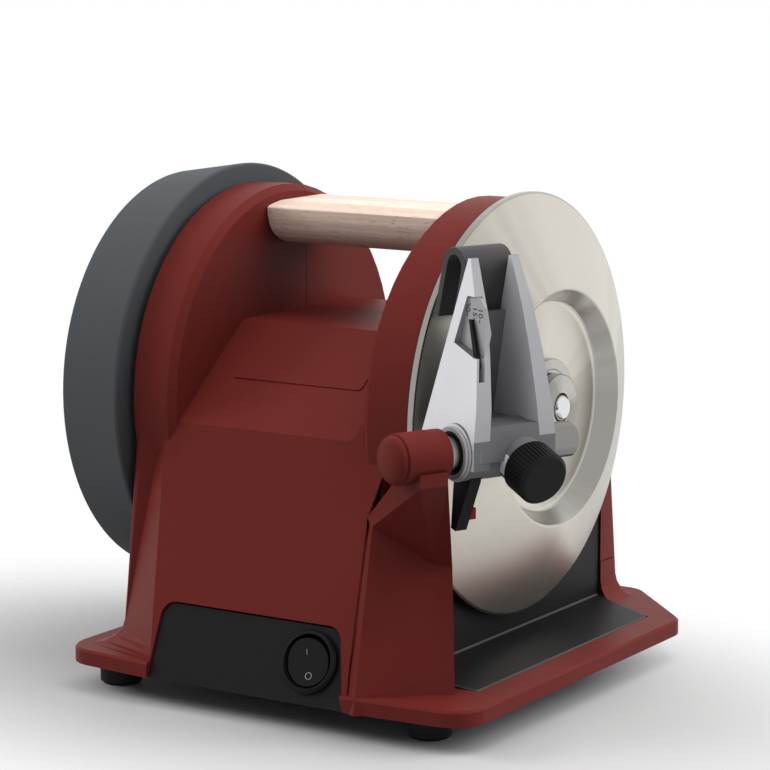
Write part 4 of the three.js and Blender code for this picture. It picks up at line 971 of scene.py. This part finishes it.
class SHARPENER_OT_guide(bpy.types.Operator):
    """Model the bar and the knob, and finish the knife guide, its scale, jaw and angle stop"""

    bl_idname = "sharpener.guide"
    bl_label = "Knife guide"

    def execute(self, context):
        settings = context.scene.sharpener_guide
        self.bar()
        self.casting(settings)
        self.bush_rim()
        self.scale(settings)
        self.jaw()
        black = dark_plastic("guide_plastic", GUIDE_BLACK, roughness=0.36)
        self.angle_stop(black)
        self.knob(black)
        return {"FINISHED"}

    def bar(self):
        """The polished bar, with its rounded free end."""
        radius = 6
        steel = turned_steel(
            "bar_steel", BAR_STEEL, BAR_POINT, BAR_ALONG, roughness=0.16, depth=0.00001
        )
        corners = ((-58.5, 0), (-58.5, radius, 0.6), (3.8, radius, 1.8), (3.8, 0))
        bar = turned("guide_bar", rounded_profile(corners, 8), BAR_POINT, BAR_ALONG, SMALL_STEPS)
        smoothed(bar, 35)
        finished(bar, "base", steel, "polished_steel", "support_bar")

    def jaw(self):
        """The lining of the knife slot."""
        liner = dark_plastic("liner_rubber", LINER_GREY, roughness=0.42, specular=0.2)
        skinned("jaw_liner", "jaw_liner_skin", "guide", liner, "black_rubber", 0.3 * MM)

    def angle_stop(self, black):
        """The stop and its red tip, with the end of the pointer brought onto the scale."""
        stop = merged_copy("angle_stop", "angle_stop_skin")
        pointer_end = BAR_POINT.z + 43 * MM
        faces_picked(stop, lambda centre, normal: centre.z > pointer_end)
        bpy.ops.transform.translate(value=(BAR_OUT * 1.4 - BAR_ALONG * 1.2) * MM)
        bpy.ops.object.mode_set(mode="OBJECT")
        softened(stop, 0.25 * MM)
        smoothed(stop)
        finished(stop, "slider", black, "dark_plastic", "angle_stop")
        red = dark_plastic("tip_plastic", TIP_RED, roughness=0.34, specular=0.15)
        skinned("stop_tip", "stop_tip_skin", "slider", red, "red_tip", 0.4 * MM, segments=3)

    def casting(self, settings):
        """The casting: its blasted arm face in its own colour, painted shade on its pocket, and a
        painted highlight on its arm edges.
        """
        # The pocket's darker grey is painted shade
        pocket = cast_aluminium("cast_pocket_painted_shade", POCKET_SHADE_GREY, roughness=0.5, metallic=0.5)
        casting = skinned(
            "guide_body", "guide_casting", "guide", pocket, "cast_aluminium", settings.edge
        )
        pale = cast_aluminium(
            "blasted_face", tuple(settings.aluminium), roughness=0.4, metallic=0.3
        )
        also_finished(casting, pale, lambda centre, normal: normal.dot(BAR_ALONG) < -0.9)
        # The arms' front edges get a lighter grey, a painted highlight; the scale plate below
        # shares this grey
        edges = cast_aluminium("cast_edge_highlight_grey", ARM_EDGE_HIGHLIGHT_GREY, roughness=0.45, metallic=0.4)
        also_finished(casting, edges, self.arm_edge)
        plate = self.scale_plate()
        softened(plate, 0.3 * MM)
        smoothed(plate)
        finished(plate, "guide", edges, "cast_aluminium")

    def arm_edge(self, centre, normal):
        """The narrow front edges of the two arms, which stand to the sides of the web, painted
        lighter as a highlight.
        """
        web_middle, web_half = -27.3, 6.5
        aside = abs((centre - BAR_POINT).dot(BAR_ALONG) / MM - web_middle)
        above_block = centre.z > BAR_POINT.z + 8 * MM
        return normal.dot(BAR_OUT) > 0.8 and aside > web_half and above_block

    def bush_rim(self):
        """The pale end of the sleeve round the bar."""
        start, end, inner, outer = -45.62, -44.6, 7.2, 8.8
        corners = ((start, inner, 0.1), (start, outer, 0.3), (end, outer), (end, inner))
        profile = closed(rounded_profile(corners))
        rim = turned("bush_rim", profile, BAR_POINT, BAR_ALONG, SMALL_STEPS)
        smoothed(rim)
        grey = cast_aluminium("bush_metal", BUSH_GREY, roughness=0.4, metallic=0.5)
        finished(rim, "slider", grey, "cast_aluminium")

    def scale_plate(self):
        """The plate of the scale: a block in the window, cut along the window's edges."""
        bpy.ops.object.select_all(action="DESELECT")
        bpy.ops.mesh.primitive_cube_add(size=1)
        plate = bpy.context.object
        plate.name = plate.data.name = "scale_plate"
        turn = Matrix((BAR_OUT, BAR_ALONG, Z_AXIS)).transposed().to_4x4()
        width, depth, height = 13.6, 3, 19.5
        size = Matrix.Diagonal((width * MM, depth * MM, height * MM, 1))
        plate.data.transform(Matrix.Translation(guide_place(0.5, -36.05, 41.2)) @ turn @ size)
        for out, along, rise, outward in (
            (-1.5, -37, 51, (-0.956, 0, 0.292)),
            (5.6, -37, 31.4, (-0.311, 0, -0.95)),
            (4.9, -37, 50.9, (0.768, 0, 0.64)),
            (0, -34.6, 39, (0, 0.982, 0.19)),
            (0, -34.6, 39, (0, 0.965, -0.261)),
        ):
            cut_away(plate, guide_place(out, along, rise), (turn @ Vector(outward))[:])
        return plate

    def scale(self, settings):
        """Figures and strokes on the plate of the scale, read from top to bottom."""
        black = ink("scale_marks", SCALE_BLACK)
        plate_face = -37.57
        thickness = 0.06 * MM
        figure_share = 0.73
        for text, out, height, stroke in (
            ("20", -1.86, 47.3, 44.7),
            ("15", 1.91, 46.1, 43.5),
            ("10", 5.05, 45.9, 43.2),
        ):
            for name, mark, size, place in (
                ("figure_", text, settings.figure / figure_share, height),
                ("stroke_", "-", 4.5 * MM, stroke),
            ):
                where = guide_place(out, plate_face, place)
                made = written(name + text, mark, size, where, -Z_AXIS, BAR_OUT, thickness)
                finished(made, "guide", black, "cast_aluminium")

    def knob(self, black):
        """The knob, with its stud, fine straight ribs and a plain face."""
        ribs, groove_depth = 44, 0.4 * MM
        start, end, radius = 12.2, 23.4, 9.2
        stud_start, stud_radius = 7.6, 2.5
        corners = (
            (stud_start, 0),
            (stud_start, stud_radius),
            (start, stud_radius),
            (start, radius - 0.9, 0.3),
            (start + 1, radius, 0.3),
            (end - 1.2, radius, 0.5),
            (end, radius - 1.1, 0.6),
            (end, 0),
        )
        knob = turned("ribbed_knob", rounded_profile(corners, 3), KNOB_POINT, KNOB_AXIS, ribs * 4)
        side = KNOB_AXIS.orthogonal().normalized()
        other = KNOB_AXIS.cross(side)

        def groove(centre, normal):
            """Every second strip of the knob's side lies in a groove."""
            reach = centre - KNOB_POINT
            along = reach.dot(KNOB_AXIS) / MM
            turn = math.atan2(reach.dot(other), reach.dot(side)) / (2 * math.pi) * ribs
            on_side = start + 1 < along < end - 1 and normal.dot(KNOB_AXIS) < 0.3
            return on_side and turn % 1 > 0.5

        faces_picked(knob, groove)
        bpy.ops.mesh.extrude_region_shrink_fatten(
            TRANSFORM_OT_shrink_fatten={"value": -groove_depth}
        )
        bpy.ops.object.mode_set(mode="OBJECT")
        smoothed(knob, 35)
        finished(knob, "knob", black, "dark_plastic", "angle_knob")


class SHARPENER_OT_drive(bpy.types.Operator):
    """Give the inner pieces of the drive their finishes"""

    bl_idname = "sharpener.drive"
    bl_label = "Drive"

    def execute(self, context):
        painted(
            plated_steel("zinc_steel", ZINC_GREY),
            "drive_frame",
            "motor_stator",
            "motor_rotor",
            "capacitor",
            "honing_nut",
            "handle_screw_left",
            "handle_screw_right",
            "bearing_left",
            "bearing_right",
        )
        painted(copper_winding(COPPER), "coil_left", "coil_right")
        gear_plastic = dark_plastic("gear_plastic", GEAR_GREY, roughness=0.5)
        painted(gear_plastic, "drive_gear", "cooling_fan")
        return {"FINISHED"}


class SHARPENER_OT_stage(bpy.types.Operator):
    """Set up the floor, the studio light and the camera"""

    bl_idname = "sharpener.stage"
    bl_label = "Stage"

    def execute(self, context):
        settings = context.scene.sharpener_stage
        self.camera(context, settings)
        self.floor()
        self.studio(context, settings)
        return {"FINISHED"}

    def camera(self, context, settings):
        """The camera, which looks from the right of the front."""
        turn, rise = settings.azimuth, settings.elevation
        back = Vector(
            (
                math.sin(turn) * math.cos(rise),
                -math.cos(turn) * math.cos(rise),
                math.sin(rise),
            )
        )
        data = bpy.data.cameras.new("photo_camera")
        data.lens = settings.lens
        data.sensor_width = 36
        data.clip_start, data.clip_end = 0.01, 50
        camera = bpy.data.objects.new("photo_camera", data)
        context.scene.collection.objects.link(camera)
        camera.rotation_mode = "QUATERNION"
        camera.rotation_quaternion = back.to_track_quat("Z", "Y")
        from_axle = Vector((560.8, -882.1, 176.04))
        camera.location = AXLE + from_axle * MM
        context.scene.camera = camera

    def floor(self):
        """A grey floor that keeps the object's cast shadow, with a painted pool of shadow: the
        grey lies round the object, set off to its left front and stretched sideways, and fades
        into the background.
        """
        bpy.ops.object.select_all(action="DESELECT")
        bpy.ops.mesh.primitive_circle_add(vertices=96, radius=4, fill_type="NGON")
        floor = bpy.context.object
        floor.name = floor.data.name = "studio_floor"
        pale = Finish("floor_paper", specular_ior_level=0.1)
        # The middle, stretch and reach of the painted shadow pool, where the grey fades out
        shadow_pool_middle, shadow_pool_shape = (-0.015, -0.035, 0), (0.625, 1, 1)
        shadow_pool_start, shadow_pool_end = 0.065, 0.18
        reach = pale.vector("SUBTRACT", pale.place(), shadow_pool_middle)
        reach = pale.vector("MULTIPLY", reach, shadow_pool_shape)
        distance = pale.vector("LENGTH", reach, (0, 0, 0), "Value")
        speck = pale.noise(3, 2)
        pale.set(
            base_color=pale.blend(speck * 0.1, FLOOR_AND_SHADOW_GREY, FLOOR_AND_SHADOW_SPECK),
            roughness=0.6,
            alpha=1 - distance.between(shadow_pool_start, shadow_pool_end),
        )
        floor.data.materials.append(pale.material)

    def studio(self, context, settings):
        """A background that is seen plain white, and the lights, placed from the origin."""
        world = bpy.data.worlds.new("studio")
        context.scene.world = world
        world.use_nodes = True
        made = Nodes(world.node_tree)
        glossy = made.node("ShaderNodeLightPath", output="Is Glossy Ray")
        plain = made.node("ShaderNodeLightPath", output="Is Camera Ray")
        through = made.node("ShaderNodeLightPath", output="Is Transmission Ray")
        shown = plain.either(glossy).either(through)
        strength = shown + (1 - shown) * settings.ambient
        background = world.node_tree.nodes["Background"]
        made.fill(background.inputs["Color"], (1, 1, 1))
        made.fill(background.inputs["Strength"], strength)
        target = Vector((0, 0, 0.09))
        for name, place, size, power in (
            ("key_light", (-1.2, -0.5, 0.75), 0.5, 11.0),
            ("fill_light", (-0.3, -0.95, 1.25), 1.0, 7.6),
            ("rear_light", (1.0, 0.55, 0.7), 0.8, 13.0),
            ("overhead_light", (0.35, 0.1, 1.25), 0.9, 9.6),
        ):
            data = bpy.data.lights.new(name, "AREA")
            data.size = size
            data.energy = power
            light = bpy.data.objects.new(name, data)
            light.visible_glossy = False
            light.location = place
            context.scene.collection.objects.link(light)
            aim = Vector(place) - target
            light.rotation_mode = "QUATERNION"
            light.rotation_quaternion = aim.to_track_quat("Z", "Y")
        context.scene.view_settings.view_transform = "Standard"


OPERATORS = (
    SHARPENER_OT_stage,
    SHARPENER_OT_housing,
    SHARPENER_OT_trim,
    SHARPENER_OT_switch,
    SHARPENER_OT_handle,
    SHARPENER_OT_wheels,
    SHARPENER_OT_guide,
    SHARPENER_OT_drive,
)


class SHARPENER_PT_panel(bpy.types.Panel):
    """The sharpener's pieces and their settings"""

    bl_idname = "SHARPENER_PT_panel"
    bl_label = "Knife Sharpener"
    bl_space_type = "VIEW_3D"
    bl_region_type = "UI"
    bl_category = "Sharpener"

    def draw(self, context):
        for name, group in SETTINGS.items():
            column = self.layout.column(heading=group.__name__)
            for setting in group.__annotations__:
                column.prop(getattr(context.scene, name), setting)
        for operator in OPERATORS:
            self.layout.operator(operator.bl_idname)


def register():
    for group in SETTINGS.values():
        bpy.utils.register_class(group)
    for operator in OPERATORS:
        bpy.utils.register_class(operator)
    bpy.utils.register_class(SHARPENER_PT_panel)
    for name, group in SETTINGS.items():
        setattr(bpy.types.Scene, name, bpy.props.PointerProperty(type=group))


def unregister():
    for name in SETTINGS:
        delattr(bpy.types.Scene, name)
    bpy.utils.unregister_class(SHARPENER_PT_panel)
    for operator in reversed(OPERATORS):
        bpy.utils.unregister_class(operator)
    for group in reversed(SETTINGS.values()):
        bpy.utils.unregister_class(group)


def main():
    register()
    for operator in OPERATORS:
        module, name = operator.bl_idname.split(".")
        getattr(getattr(bpy.ops, module), name)()


if __name__ == "__main__":
    main()
